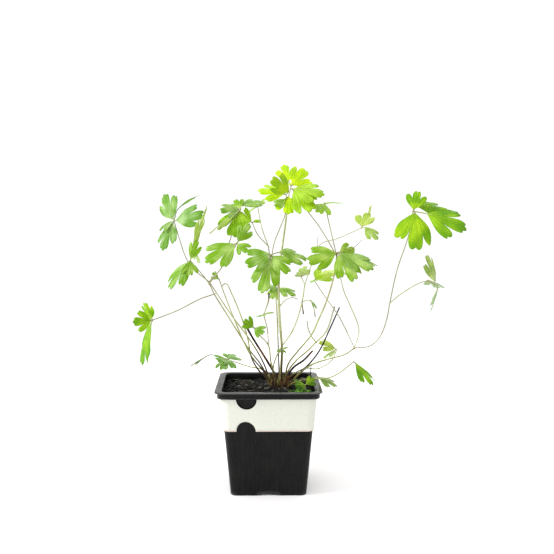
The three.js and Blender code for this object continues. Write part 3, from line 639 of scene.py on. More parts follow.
across, corner = wall_size(SOIL_TOP)
soil_across = across - 2 * (WALL + CLEAR)
soil = Shape()
rings = []
for ring in range(1, SOIL_RINGS + 1):
    share = ring / SOIL_RINGS
    flat = square_ring(soil_across * share, max((corner - WALL) * share, SOIL_CORNER), 0)
    low = EDGE_DROP * max(0, share - EDGE_FROM) / EDGE_WIDTH
    rings.append([(x, y, ground(x, y) - low) for x, y, _ in flat])
rings += [wall_ring(z, WALL + CLEAR) for z in SOIL_WALL_HEIGHTS]
skin(soil, rings)
heights = [point[2] for ring in rings[:SOIL_RINGS] for point in ring]
print("ground from", round(min(heights), 1), "to", round(max(heights), 1), "mm")

# %% [markdown]
# ### The soil's colour
#
# Moist peat is nearly black, with paler wood fibre in it. Two noises of different fineness mix its
# tones, and the finer one also gives the surface its crumb.

# %% Dark peat
potting_soil, tree, shader = finish("potting_soil", Roughness=0.95, Specular_IOR_Level=0.15)
crumbs = specks(tree, 420, 6)
patches = specks(tree, 70, 3)
peat_stops = (0.35, (0.001, 0.001, 0.001)), (0.55, (0.004, 0.004, 0.0037)), (0.75, (0.06, 0.058, 0.05))
peat = ramp(tree, crumbs, *peat_stops)
moist = mixed(tree, greys(tree, patches, (0.4, 0), (0.7, 0.7)), peat, (0.006, 0.005, 0.004))
painted(tree, shader, moist)
bumpy(tree, shader, crumbs, 0.0008)
make_piece("soil_ground", soil, [potting_soil], "potting_soil", "soil")

# %% [markdown]
# Crumbs and chips are small spheres pulled out of shape by noise. A few hundred are enough, if they
# differ in size. `random` is seeded, so the soil is the same every time.

# %% Crumbs and chips
random.seed(11)
CRUMBS = 420
CRUMB_SIZES, CRUMB_STRETCHES = (0.35, 0.45, 0.6, 0.8, 1.1, 1.5), (1, 1.2, 1.8, 2.6)
CRUMB_SHADES, CRUMB_BROWN = (0.3, 0.5, 0.8, 1.2, 11), (0.0095, 0.009, 0.0075)
LUMPY, LUMP_SCALE, LUMP_FLAT, LUMP_LIFT = 0.45, 1.4, 0.65, 0.15
WALL_MARGIN = 2.5
half_soil = soil_across / 2 - WALL_MARGIN


def anywhere(spread):
    """A random spot in a cube of this size."""
    return Vector((random.random(), random.random(), random.random())) * spread


def lump(shape, centre, size, stretch, tint, shade):
    """A small irregular stone-like lump."""
    bm = bmesh.new()
    bmesh.ops.create_icosphere(bm, subdivisions=2, radius=1)
    seed = anywhere(50)
    turn = random.random() * math.pi
    cosine, sine = math.cos(turn), math.sin(turn)
    for vertex in bm.verts:
        vertex.co *= 1 + LUMPY * noise.noise(vertex.co * LUMP_SCALE + seed)
        x, y, z = vertex.co.x * stretch, vertex.co.y, vertex.co.z * LUMP_FLAT
        vertex.co = Vector((x * cosine - y * sine, x * sine + y * cosine, z))
    points = [Vector(centre) + vertex.co * size for vertex in bm.verts]
    faces = [[vertex.index for vertex in face.verts] for face in bm.faces]
    shape.add(points, faces, [tuple(part * shade for part in tint)] * len(points))
    bm.free()


crumb_heap = Shape()
for _ in range(CRUMBS):
    x, y = random.uniform(-half_soil, half_soil), random.uniform(-half_soil, half_soil)
    size, shade = random.choice(CRUMB_SIZES), random.choice(CRUMB_SHADES)
    stretch = random.choice(CRUMB_STRETCHES)
    lump(crumb_heap, (x, y, ground(x, y) + LUMP_LIFT * size), size, stretch, CRUMB_BROWN, shade)
print("crumbs:", CRUMBS)

# %% [markdown]
# Smaller green lumps, crowded at the front right, make a low cushion of moss. They are strewn round one
# spot and heaped highest there. Crumbs and moss share one finish: the tint of each lump, with grit.

# %% Moss and the crumbs' finish
MOSS_LUMPS, MOSS_X, MOSS_Y, MOSS_HEIGHT = 260, 31, -25, 4
MOSS_SPREAD_X, MOSS_SPREAD_Y, MOSS_ROUND = 6, 7, 70
MOSS_SIZES, MOSS_SHADES, MOSS_GREEN = (0.5, 1.5), (0.4, 0.8, 1.5, 4), (0.024, 0.066, 0.004)
MOSS_LIFT, MOSS_STRETCH = 0.4, 1.2

for _ in range(MOSS_LUMPS):
    x = min(half_soil, MOSS_X + random.gauss(0, MOSS_SPREAD_X))
    y = max(-half_soil, MOSS_Y + random.gauss(0, MOSS_SPREAD_Y))
    size, shade = random.uniform(*MOSS_SIZES), random.choice(MOSS_SHADES)
    away = ((x - MOSS_X) ** 2 + (y - MOSS_Y) ** 2) / MOSS_ROUND
    z = ground(x, y) + MOSS_LIFT * size + MOSS_HEIGHT * math.exp(-away) * random.random()
    lump(crumb_heap, (x, y, z), size, MOSS_STRETCH, MOSS_GREEN, shade)
soil_crumb, tree, shader = finish("soil_crumb", Roughness=0.9, Specular_IOR_Level=0.2)
grit = specks(tree, 1500, 3)
gritty = greys(tree, grit, (0.3, 0.2), (0.7, 1))
painted(tree, shader, mixed(tree, 0.5, carried(tree, "tint"), gritty, "MULTIPLY"))
bumpy(tree, shader, grit, 0.0002)
make_piece("soil_crumbs", crumb_heap, [soil_crumb], "potting_soil")

# %% [markdown]
# ## Stalks
#
# A stalk is a round tube that bends gently and gets thinner as it rises. Blender's own curve objects
# could draw it, but we want to colour it along its length: brown-red near the crown and pale green
# higher up. So we sample a smooth curve through a few chosen points, and skin small circles along it.
# The curve is a Catmull-Rom spline, the same one that shaped the solids, so the tube follows its solid.

# %% A smooth curve
FINE_STEPS = 20


def smooth_curve(route, step):
    """Points about `step` mm apart on a centripetal Catmull-Rom curve through the route."""
    given = [Vector(point) for point in route]
    given = [2 * given[0] - given[1], *given, 2 * given[-1] - given[-2]]
    dense = []
    for p0, p1, p2, p3 in zip(given, given[1:], given[2:], given[3:]):
        d0, d1, d2 = (math.sqrt((b - a).length) for a, b in ((p0, p1), (p1, p2), (p2, p3)))
        leave = ((p1 - p0) / d0 - (p2 - p0) / (d0 + d1) + (p2 - p1) / d1) * d1
        arrive = ((p2 - p1) / d1 - (p3 - p1) / (d1 + d2) + (p3 - p2) / d2) * d1
        for i in range(FINE_STEPS):
            t = i / FINE_STEPS
            curve = p1 + leave * t + (3 * (p2 - p1) - 2 * leave - arrive) * t**2
            dense.append(curve + (2 * (p1 - p2) + leave + arrive) * t**3)
    dense.append(given[-2])
    run = [0]
    for a, b in zip(dense, dense[1:]):
        run.append(run[-1] + (b - a).length)
    count = max(2, round(run[-1] / step))
    even, at = [], 0
    for i in range(count + 1):
        want = run[-1] * i / count
        while at < len(run) - 2 and run[at + 1] < want:
            at += 1
        part = (want - run[at]) / (run[at + 1] - run[at])
        even.append(dense[at].lerp(dense[at + 1], min(1, part)))
    return even


print("a 10 mm curve in 2 mm steps:", len(smooth_curve([(0, 0, 0), (5, 0, 1), (10, 0, 0)], 2)), "points")

# %% [markdown]
# Each circle stands square to the curve. One direction, `side`, is carried from circle to circle and
# only straightened a little at each, so that the tube doesn't twist. A narrower circle closes each end.
# `sink` starts the tube early, inside the stalk that it grows from.

# %% A tube along the curve
END_REACH, END_NARROW, JAGS = 0.4, 0.6, 3


def blend_colours(stops, share):
    """The colour at a share of the way along (share, colour) stops."""
    for (low, one), (high, other) in zip(stops, stops[1:]):
        if share <= high:
            part = max(0, (share - low) / (high - low))
            return tuple(a + (b - a) * part for a, b in zip(one, other))
    return stops[-1][1]


def tube(shape, route, radius_at, colours, sides=10, step=2.2, sink=0, ragged=0):
    """Skins circles along a smooth curve; it starts `sink` mm early and can end in a ragged break."""
    points = smooth_curve(route, step)
    last = len(points) - 1
    side = (points[1] - points[0]).orthogonal().normalized()
    rings, tints, plans = [], [], []
    run = 0

    def ring(centre, along, radius, share, jag=0):
        nonlocal side
        side = (side - along * side.dot(along)).normalized()
        other = along.cross(side)
        made = []
        for i in range(sides):
            turn = 2 * math.pi * i / sides
            spike = along * jag * (0.5 + 0.5 * math.sin(JAGS * turn + 1)) if jag else Vector()
            made.append(centre + (side * math.cos(turn) + other * math.sin(turn)) * radius + spike)
            plans.append((radius * turn, run, 0))
        rings.append(list(reversed(made)))
        tints.extend([blend_colours(colours, share)] * sides)

    for i, centre in enumerate(points):
        along = (points[min(i + 1, last)] - points[max(i - 1, 0)]).normalized()
        share = i / last
        radius = radius_at(share)
        if i == 0:
            ring(centre - along * (sink + radius * END_REACH), along, radius * END_NARROW, share)
        ring(centre, along, radius, share, ragged if i == last else 0)
        if i == last and not ragged:
            ring(centre + along * radius * END_REACH, along, radius * END_NARROW, share)
        if i < last:
            run += (points[i + 1] - centre).length
    skin(shape, rings, tints, plans=plans)


def taper(start, end):
    return lambda share: start + (end - start) * share


print("half way along a stalk from 1.2 to 0.6 mm:", round(taper(1.2, 0.6)(0.5), 2), "mm")

# %% [markdown]
# ### The stalks' skin
#
# A fresh stalk is smooth and a little waxy, with fine ribs along it. The colour comes from the tint
# that every point carries. Slow noise darkens it in places, and the ribs are noise in the stalk's own
# unrolled coordinates: round the stalk in X and along it in Y.

# %% Green stalk and dead stalk
def stalk_finish(name, rough, rib_depth, blotch):
    made, tree, shader = finish(name, Roughness=rough, Specular_IOR_Level=0.3)
    ribs = specks(tree, 2.4, 2, where=carried(tree, "plan", "Vector"), stretch=(1, 0.06, 1))
    shade = ramp(tree, specks(tree, 160, 3), (0.35, blotch), (0.65, (1, 1, 1)))
    shaded = mixed(tree, 1, carried(tree, "tint"), shade, "MULTIPLY")
    painted(tree, shader, mixed(tree, 0.35, shaded, greys(tree, ribs, (0.35, 0.55), (0.65, 1)), "MULTIPLY"))
    bumpy(tree, shader, ribs, rib_depth)
    return made


stalk_green = stalk_finish("stalk_green", 0.42, 0.00005, (0.72, 0.66, 0.5))
dead_stalk = stalk_finish("dead_stalk", 0.8, 0.00015, (0.35, 0.3, 0.28))
print("finishes:", stalk_green.name, dead_stalk.name)

# %% [markdown]
# ## A leaflet's outline
#
# A columbine leaflet is a wedge that is split into two or three lobes, and each lobe ends in a few
# round teeth. Seen from the base of the leaflet, its edge is one distance for each direction, so a
# short function can draw it: a rounded lobe, scallops along it, and a sharp dip at each cut. A
# direction is a number from -1 to 1. Each lobe is given by where it starts and ends, its length and
# its teeth, and each cut by its place and how far from the base it stops.

# %% Outlines with lobes and teeth
OUTLINES = {
    "middle": {
        "half_angle": 50, "flanks": (0.3, 0.3), "cuts": [(-0.33, 0.42), (0.33, 0.42)],
        "lobes": [(-1, -0.33, 0.85, 2), (-0.33, 0.33, 1, 3), (0.33, 1, 0.85, 2)],
    },
    "side": {
        "half_angle": 54, "flanks": (0.26, 0.3), "cuts": [(-0.2, 0.38), (0.45, 0.76)],
        "lobes": [(-1, -0.2, 0.85, 3), (-0.2, 0.45, 1, 2), (0.45, 1, 0.96, 2)],
    },
    "plain": {
        "half_angle": 50, "flanks": (0.36, 0.36), "cuts": [(-0.34, 0.64), (0.34, 0.66)],
        "lobes": [(-1, -0.34, 0.9, 1), (-0.34, 0.34, 1, 2), (0.34, 1, 0.92, 1)],
    },
}
LOBE_ROUND, LOBE_POWER = 0.28, 3
TOOTH, TOOTH_POWER = 0.1, 0.5
CUT_SLOPE, CUT_POWER = 7, 0.9
TURNS = 60
NEAR_CUT, NEAR_EDGE = (-0.045, -0.015, 0, 0.015, 0.045), (-0.985, 0.985)


def edge_share(outline, turn):
    """How far the edge is from the base in a direction, as a share of the leaflet's length."""
    reach = 0
    for low, high, size, teeth in outline["lobes"]:
        if low <= turn <= high:
            along = (turn - low) / (high - low)
            bow = size * (1 - LOBE_ROUND * abs(2 * along - 1) ** LOBE_POWER)
            scallop = abs(math.sin(math.pi * teeth * along)) ** TOOTH_POWER
            reach = max(reach, bow * (1 - TOOTH * (1 - scallop)))
    for place, depth in outline["cuts"]:
        reach = min(reach, depth + CUT_SLOPE * abs(turn - place) ** CUT_POWER)
    flank = outline["flanks"][0 if turn < 0 else 1]
    return min(reach, flank + math.sqrt(1 - abs(turn)))


def vein_phase(outline, turn):
    """A number that is whole on each vein, and half way between two of them."""
    count = 0
    for low, high, _, teeth in outline["lobes"]:
        if turn <= high:
            return count + teeth * (turn - low) / (high - low) - 0.5
        count += teeth
    return count - 0.5


for outline_name, outline in OUTLINES.items():
    turns = {round(-1 + 2 * i / TURNS, 4) for i in range(TURNS + 1)}
    turns |= {round(place + step, 4) for place, _ in outline["cuts"] for step in NEAR_CUT}
    turns = sorted(turns.union(NEAR_EDGE))
    outline["turns"] = turns
    outline["edge"] = [edge_share(outline, turn) for turn in turns]
    outline["phase"] = [vein_phase(outline, turn) for turn in turns]
    print(outline_name, len(turns), "directions, longest", round(max(outline["edge"]), 2))

# %% [markdown]
# ## A leaflet's blade
#
# The blade is a fine net between the base and the edge: one line of points for each direction. It
# droops towards its tip and folds down a little to both sides, it is pillowed between its veins, and
# slow noise ruffles it, so that no two leaflets are alike. The same noise gives it darker patches.

# %% A blade's shape and tones
PILLOW, RUFFLE, RUFFLE_SCALE, FOLD_ROUND = 0.3, 0.05, 0.11, 0.004
PATCH, PATCH_SWING, PATCH_SCALE, EDGE_DARK, UNDER_PATCH = 0.8, 1.1, 0.13, 0.75, 0.25
WARMTH, WARM_PARTS = 0.1, (1, 0.5, -1)


def blade_place(start, axes, length, outline, seed, wide, sag, fold):
    """A function that finds a point of the blade: its direction, and a share of the leaflet's length."""
    along, across, up = axes
    reach = math.radians(outline["half_angle"])

    def place(turn, share, phase, lift):
        out, aside = share * length, math.sin(turn * reach) * wide
        bend = -out * (sag * share + fold * math.sqrt(aside**2 + FOLD_ROUND))
        pillow = PILLOW * abs(math.sin(math.pi * phase)) * min(1, share * 2)
        spot = Vector((math.cos(turn * reach) * out, aside * out, 0))
        ruffle = RUFFLE * out * noise.noise(spot * RUFFLE_SCALE + seed)
        rise = bend + pillow + ruffle + lift
        return start + along * spot.x + across * spot.y + up * rise, spot

    return place


def blade_tint(tone, spot, part, seed, warm, on_top):
    """Lighter and darker patches, darker towards the edge, and a little warmer or cooler as a whole."""
    patch = PATCH + PATCH_SWING * noise.noise(spot * PATCH_SCALE + seed) - EDGE_DARK * part
    patch = min(1, max(0, patch))
    if on_top:
        shade = blend_colours(((0, tone["dark"]), (1, tone["light"])), patch)
    else:
        shade = blend_colours(((0, tone["under"]), (1, tone["light"])), UNDER_PATCH * patch)
    return tuple(c * (1 + WARMTH * warm * w) for c, w in zip(shade, WARM_PARTS))


print("a blade is pillowed by", PILLOW, "mm between its veins")

# %% [markdown]
# Two such nets 0.3 mm apart, joined round the edge, make a thin closed blade. It starts a short way
# along from the hub where the leaflets part, or at a base of its own. Very small leaflets always take
# the plain outline.

# %% The leaflet
ROWS, FIRST_ROW, ROW_CROWDING = 9, 0.03, 0.9
BLADE, EDGE_THINNING, THINNING_POWER = 0.3, 0.55, 6
SMALL_LEAFLET = 15
NECK = 0.06


def net_faces(count):
    """Faces for two nets of `count` lines, joined along both sides, the base and the edge."""
    faces = []
    sheet = (ROWS + 1) * count
    for row in range(ROWS):
        for i in range(count - 1):
            a, b = row * count + i, (row + 1) * count + i
            faces += [(a, a + 1, b + 1, b), (sheet + a, sheet + b, sheet + b + 1, sheet + a + 1)]
    for row in range(ROWS):
        for i, way in ((0, 1), (count - 1, -1)):
            a, b = row * count + i, (row + 1) * count + i
            faces.append((a, b, sheet + b, sheet + a)[::way])
    for i in range(count - 1):
        for row, way in ((0, -1), (ROWS, 1)):
            a = row * count + i
            faces.append((a, a + 1, sheet + a + 1, sheet + a)[::way])
    return faces


def leaflet(
    shape, own, hub, tip, face, kind, tone=None, base=None, wide=1, sag=0.12, fold=0.1, mirror=False
):
    """One leaflet on its own short stalk: blade, edge, ribs."""
    tone = {**own, **(tone or {})}
    hub, tip = Vector(hub), Vector(tip)
    start = Vector(base) if base else hub.lerp(tip, NECK)
    along = tip - start
    length = along.length
    along.normalize()
    face = Vector(face)
    up = (face - along * face.dot(along)).normalized()
    across = along.cross(up) * (-1 if mirror else 1)
    outline = OUTLINES["plain" if length < SMALL_LEAFLET else kind]
    seed, warm = anywhere(90), random.uniform(-1, 1)
    place = blade_place(start, (along, across, up), length, outline, seed, wide, sag, fold)
    points, tints, plans = [], [], []
    for way in (1, -1):
        for row in range(ROWS + 1):
            part = FIRST_ROW + (1 - FIRST_ROW) * (row / ROWS) ** ROW_CROWDING
            thin = 1 - EDGE_THINNING * part**THINNING_POWER
            for turn, edge, phase in zip(outline["turns"], outline["edge"], outline["phase"]):
                point, spot = place(turn, edge * part, phase, way * BLADE / 2 * thin)
                points.append(point)
                plans.append((spot.length, phase, 0))
                tints.append(blade_tint(tone, spot, part, seed, warm, way > 0))
    faces = net_faces(len(outline["turns"]))
    if mirror:
        faces = [face[::-1] for face in faces]
    shape.add(points, faces, tints, plans, 1)
    ribs(shape, tone, hub, start, outline, place, length)


print("a leaflet has", ROWS + 1, "rows of", len(OUTLINES["middle"]["turns"]), "points on each side")

# %% [markdown]
# On the underside the veins stand out as thin ribs. They are tubes that follow the net, a little below
# it. The middle one starts at the hub, so it is also the leaflet's own stalk, and it is thicker there.

# %% The leaflet's ribs
MIDRIB_AT, SIDE_RIB_AT = (0.05, 0.2, 0.4, 0.62), (0.04, 0.2, 0.42, 0.66)
MIDRIB_DEPTH, SIDE_RIB_DEPTH = 0.7, 0.6
RIB_THICK, RIB_THIN, SIDE_RIB_THICK, SIDE_RIB_THIN = 0.5, 0.14, 0.24, 0.1
NECK_END = 0.02


def ribs(shape, tone, hub, start, outline, place, length):
    """The leaflet's own stalk, and the main veins standing out under the blade."""
    middle_turn = outline["turns"][len(outline["turns"]) // 2]
    colours = ((0, tone["stalk_end"]), (1, tone["under"]))
    under = [place(middle_turn, share, 0, -BLADE * MIDRIB_DEPTH)[0] for share in MIDRIB_AT]
    bare = (start - hub).length
    bare_share = bare / (bare + MIDRIB_AT[-1] * length)

    def girth(share):
        return RIB_THICK - (RIB_THICK - RIB_THIN) * max(0, share - bare_share) / (1 - bare_share)

    tube(shape, [hub, start.lerp(hub, NECK_END), *under], girth, colours, sides=6, step=2.5)
    for low, high, size, _ in (outline["lobes"][0], outline["lobes"][-1]):
        turn = (low + high) / 2
        route = [place(turn, share * size, 0, -BLADE * SIDE_RIB_DEPTH)[0] for share in SIDE_RIB_AT]
        tube(shape, route, taper(SIDE_RIB_THICK, SIDE_RIB_THIN), colours, sides=5, step=3)


print("ribs from", RIB_THICK, "to", RIB_THIN, "mm in radius")

# %% [markdown]
# ### The blade's finish
#
# Light goes through a leaf as well as off it, and comes out yellower. A Principled shader gives the
# waxy top, and a Translucent one adds the light from behind. The veins need no painting: every point
# knows how far it is from the base and which vein it is near, so a triangle wave of the vein number
# gives pale lines that fan out into the teeth, and a second, slanted wave gives the fine side veins.

# %% Leaf blade
VEIN_WIDTH, VEIN_CORE, VEIN_SPREAD = 0.28, 0.02, 0.2
VEINLET_SLANT, VEINLET_STEP, VEINLET_WIDTH, VEINLET_SHARE = 2.2, 0.42, 0.11, 0.35
VEIN_CONTRAST = 0.45
GLOW = 0.42

leaf_blade, tree, shader = finish("leaf_blade", Roughness=0.5, Specular_IOR_Level=0.3)
plan = carried(tree, "plan", "Vector")
away = node(tree, "SeparateXYZ", "X", {"Vector": plan})
phase = node(tree, "SeparateXYZ", "Y", {"Vector": plan})
near = maths(tree, "PINGPONG", phase, 0.5)
gap = maths(tree, "MULTIPLY", near, maths(tree, "MULTIPLY", away, VEIN_SPREAD))
vein = rising(tree, gap, VEIN_WIDTH, VEIN_CORE)
slant = maths(tree, "MULTIPLY", near, VEINLET_SLANT)
slanted = maths(tree, "SUBTRACT", maths(tree, "MULTIPLY", away, VEINLET_STEP), slant)
veinlet = rising(tree, maths(tree, "PINGPONG", slanted, 0.5), VEINLET_WIDTH, VEIN_CORE)
lines = maths(tree, "MAXIMUM", vein, maths(tree, "MULTIPLY", veinlet, VEINLET_SHARE))
mottle = ramp(tree, specks(tree, 140, 3), (0.3, (0.93, 0.95, 0.92)), (0.7, (1.03, 1.02, 1.03)))
blotched = mixed(tree, 1, carried(tree, "tint"), mottle, "MULTIPLY")
pale = mixed(tree, 1, blotched, (1.45, 1.25, 1.9), "MULTIPLY")
veined = mixed(tree, maths(tree, "MULTIPLY", lines, VEIN_CONTRAST), blotched, pale)
painted(tree, shader, veined)
bumpy(tree, shader, maths(tree, "SUBTRACT", 1, lines), 0.00012)
yellowed = mixed(tree, 1, veined, (1.5, 1.15, 0.6), "MULTIPLY")
through = node(tree, "BsdfTranslucent", inputs={"Color": yellowed})
both = node(tree, "MixShader", inputs={0: GLOW, 1: shader.outputs[0], 2: through})
tree.links.new(both, tree.nodes["Material Output"].inputs["Surface"])
print("finish:", leaf_blade.name)

# %% [markdown]
# ## A whole leaf
#
# Leaves of one plant differ in tone with their age and the light. The tones are colours in linear
# light: `dark` and `light` for the top of the blade, `under` for its underside, and the stalk's, given
# as places from 0 at the crown to 1 at its end, each with its colour.

# %% Tones
GREEN_STALK = (
    (0, (0.045, 0.02, 0.01)), (0.2, (0.05, 0.032, 0.022)), (0.3, (0.13, 0.12, 0.05)),
    (0.42, (0.36, 0.4, 0.15)), (0.75, (0.46, 0.5, 0.25)), (1, (0.34, 0.32, 0.2)),
)
OLIVE_STALK = (
    (0, (0.07, 0.045, 0.02)), (0.1, (0.13, 0.1, 0.04)), (0.22, (0.26, 0.27, 0.1)),
    (0.45, (0.42, 0.47, 0.18)), (0.75, (0.46, 0.5, 0.25)), (1, (0.34, 0.32, 0.2)),
)
THICK_STALK = (
    (0, (0.06, 0.03, 0.015)), (0.05, (0.16, 0.13, 0.05)), (0.12, (0.4, 0.42, 0.2)),
    (1, (0.42, 0.46, 0.25)),
)
PALE_STALK = (
    (0, (0.1, 0.08, 0.03)), (0.2, (0.3, 0.3, 0.13)), (0.5, (0.5, 0.56, 0.3)), (1, (0.56, 0.62, 0.36)),
)
GREEN_END, PALE_END, DRY_END = (0.3, 0.33, 0.15), (0.45, 0.45, 0.26), (0.12, 0.1, 0.07)


def tones(dark, light, under, stalk=GREEN_STALK, stalk_end=GREEN_END):
    return {"dark": dark, "light": light, "under": under, "stalk": stalk, "stalk_end": stalk_end}


FRESH = tones((0.18, 0.39, 0.003), (0.42, 0.62, 0.17), (0.44, 0.62, 0.18))
DEEP = tones((0.12, 0.31, 0.01), (0.38, 0.57, 0.22), (0.38, 0.57, 0.24))
SHADED = tones((0.12, 0.34, 0.002), (0.3, 0.55, 0.01), (0.24, 0.46, 0.02))
SPROUT = tones((0.05, 0.16, 0.001), (0.3, 0.52, 0.003), (0.15, 0.3, 0.005))
OLIVE = tones((0.26, 0.5, 0.001), (0.45, 0.66, 0.003), (0.45, 0.64, 0.05))
YOUNG = tones((0.21, 0.45, 0.001), (0.45, 0.7, 0.04), (0.46, 0.68, 0.08))
LIME = tones((0.3, 0.54, 0.001), (0.48, 0.74, 0.06), (0.5, 0.72, 0.08))
# BRIGHT is young yellow-green with painted light in it, for leaflets lit full from above.
BRIGHT = tones((0.42, 0.68, 0.001), (0.66, 0.9, 0.004), (0.62, 0.84, 0.05))
SUNNY = tones((0.16, 0.4, 0.001), (0.36, 0.62, 0.01), (0.46, 0.68, 0.08), OLIVE_STALK)
PALE = tones((0.33, 0.51, 0.08), (0.54, 0.72, 0.26), (0.52, 0.68, 0.26), PALE_STALK, PALE_END)
GREY = tones((0.2, 0.34, 0.06), (0.46, 0.62, 0.3), (0.45, 0.6, 0.3), PALE_STALK, PALE_END)
SILVERY = tones((0.24, 0.4, 0.12), (0.46, 0.63, 0.33), (0.48, 0.65, 0.35), PALE_STALK, PALE_END)
DRYING = tones((0.12, 0.2, 0.05), (0.28, 0.36, 0.17), (0.1, 0.11, 0.05), PALE_STALK, DRY_END)
print("the darkest and the brightest green:", SPROUT["dark"], BRIGHT["light"])

# %% [markdown]
# One function grows a leaf from its description: the long stalk, then each spray. A spray is a side
# stalk with leaflets at its end. It starts at the end of the leaf's stalk, or at a `start` on the way.
# `middle`, `side`, `mirrored` and `plain` each describe one leaflet by its tip and by the way its upper
# side faces. What is special about it follows: its own base or tone, or how wide it is, how much it
# sags and how far it is folded.

# %% Words for a leaf, and the leaf
SPRAY_RADIUS, TIP_RADIUS, SINK = 0.5, 0.4, 1.3
KNUCKLE = 0.8
feet = []


def kind_of_leaflet(kind, **always):
    """A word for one kind of leaflet; it gathers what `leaflet` has to know about it."""
    return lambda tip, face, **special: {"tip": tip, "face": face, "kind": kind, **always, **special}


middle, side, plain = (kind_of_leaflet(kind) for kind in ("middle", "side", "plain"))
mirrored = kind_of_leaflet("side", mirror=True)


def spray(route, *blades, start=None, tone=None):
    """One side stalk with its leaflets; `start` is only given where it isn't the end of the stalk."""
    return start, route, blades, tone or {}


def swelling(shape, centre, radius, tint):
    """The small knot where leaflets part."""
    bm = bmesh.new()
    bmesh.ops.create_icosphere(bm, subdivisions=2, radius=radius)
    points = [Vector(centre) + vertex.co for vertex in bm.verts]
    faces = [[vertex.index for vertex in face.verts] for face in bm.faces]
    shape.add(points, faces, [tint] * len(points))
    bm.free()


def grow_leaf(name, tone, radii, stalk, *sprays, slot="leaf_green"):
    """Builds one leaf with all its leaflets as one piece, and keeps its foot for the crown."""
    random.seed(name)
    shape = Shape()
    thick, thin = radii
    feet.append((stalk, thick))
    tube(shape, stalk, taper(thick, thin), tone["stalk"])
    for start, route, blades, own_tone in sprays:
        route = [start or stalk[-1], *route]
        shade = {**tone, **own_tone}
        colours = ((0, shade["stalk"][-1][1]), (1, shade["stalk_end"]))
        tube(shape, route, taper(min(thin, SPRAY_RADIUS), TIP_RADIUS), colours, sides=8, sink=SINK)
        if blades:
            swelling(shape, route[-1], KNUCKLE, shade["stalk_end"])
        for blade in blades:
            leaflet(shape, shade, route[-1], **blade)
    print(name, "has", sum(len(blades) for _, _, blades, _ in sprays), "leaflets")
    make_piece(name + "_fine", shape, [stalk_green, leaf_blade], slot, name)


print("words for a leaf: middle, side, plain, mirrored, spray, grow_leaf")

# %% [markdown]
# ## The leaf at the top
#
# The thickest stalk stands nearly straight up from the crown and carries the youngest leaf. Its
# leaflets are still bright yellow-green, and are painted brighter where the light from above falls full
# on them, while the side sprays lower down have turned green. All places are in millimetres. The tone
# of a spray or of a leaflet overrides the leaf's own.

# %% The leaf at the top
grow_leaf(
    "leaf_top", {**BRIGHT, "stalk": THICK_STALK}, (1.3, 0.75),
    [
        (10.5, 7, 79), (11, 6.5, 97), (12, 6, 117), (10, 6, 144), (9, 4, 171), (10, 4, 193), (12, 6, 207),
        (16, 8, 237), (17, 8, 250),
    ],
    spray(
        [(19, 12, 257), (20, 14, 262)],
        middle((14, 25, 283), (0, -9, 4), base=(18, 16, 266)),
        mirrored((37, 25, 277), (1, -9, 3)),
        middle((24, 36, 268), (1, -1, 9)),
    ),
    spray(
        [(15, 5, 254)],
        mirrored((5, -8, 269), (-1, -8, 5), base=(18, 2, 256), tone=OLIVE),
        middle((-8, -2, 259), (-1, -7, 7)),
    ),
    spray(
        [(4, 1, 189), (3, -1, 198), (5, -3, 212), (10, -5, 225), (14.5, -6, 237), (15, -7, 250)],
        middle((17, -17, 238), (0, -7, 7), base=(17, -4, 252), wide=1.2),
        side((5, -12, 244), (-2, -8, 5), wide=0.8, tone=FRESH),
        start=(9, 4, 178), tone=BRIGHT,
    ),
    spray([(15, 12, 161), (22, 24, 162), (27, 31, 160)], start=(9.7, 4.4, 156), tone=PALE),
    spray(
        [(8.5, 1, 173)],
        middle((23, -9, 171), (1, -4, 9), sag=0.3),
        side((-3, -6, 175), (-2, -6, 8)),
        mirrored((2, -4, 164), (-1, -8, 5)),
        start=(9, 4, 170), tone=FRESH,
    ),
    spray(
        [(12, 3.5, 119)],
        plain((7, 1, 117), (0, -3, 9)),
        plain((17, 1, 121), (0, -3, 9)),
        plain((12, -3, 116), (0, -4, 9)),
        start=(12, 6, 117), tone=GREY,
    ),
    slot="leaf_young",
)

# %% [markdown]
# ## The leaf at the upper left
#
# Older leaves are darker, with a grey bloom on their undersides. This one forks into two sprays of five
# leaflets high above the pot. Two of the leaflets are made narrow, as if they were still half closed.

# %% The leaf at the upper left
grow_leaf(
    "leaf_upper_left", DEEP, (0.75, 0.55),
    [
        (5, 7.5, 80), (1, 8.5, 91), (-4, 10, 104), (-10, 13, 115), (-20, 14, 130), (-33, 16, 147),
        (-53, 18, 177),
    ],
    spray(
        [(-68, 20, 189), (-74, 20, 199), (-79, 20, 214), (-84, 20, 231)],
        middle((-95, 4, 209), (-5, -8, 3), wide=0.8, sag=0.2),
        middle((-96, 26, 255), (-6, -7, 1)),
        plain((-98, 16, 227), (-2, -4, 9), sag=0.35),
        side((-58, 5, 241), (1, -8, 5), wide=0.75),
        middle((-69, 43, 261), (-4, 1, 9), base=(-82, 25, 241), sag=0.25, wide=0.35),
    ),
    spray(
        [(-42, 23, 190), (-35, 27, 213), (-25, 30, 242)],
        middle((-31, 38, 252), (-1, -9, 4), tone=FRESH),
        side((-42, 21, 240), (0, -8, 6)),
        side((-54, 16, 222), (-5, -4, 7), base=(-29, 24, 238), wide=0.35, tone=PALE),
        mirrored((-36, 13, 220), (-1, -9, 4), tone=YOUNG),
        side((-7, 44, 253), (1, -4, 9), base=(-25, 33, 245), wide=0.8, tone=FRESH),
    ),
)

# %% [markdown]
# ## The leaf at the far left
#
# The longest leaf at the left arches out so far that its last leaflet hangs down well outside the pot.
# One of its leaflets stands upright and shows its narrow side.

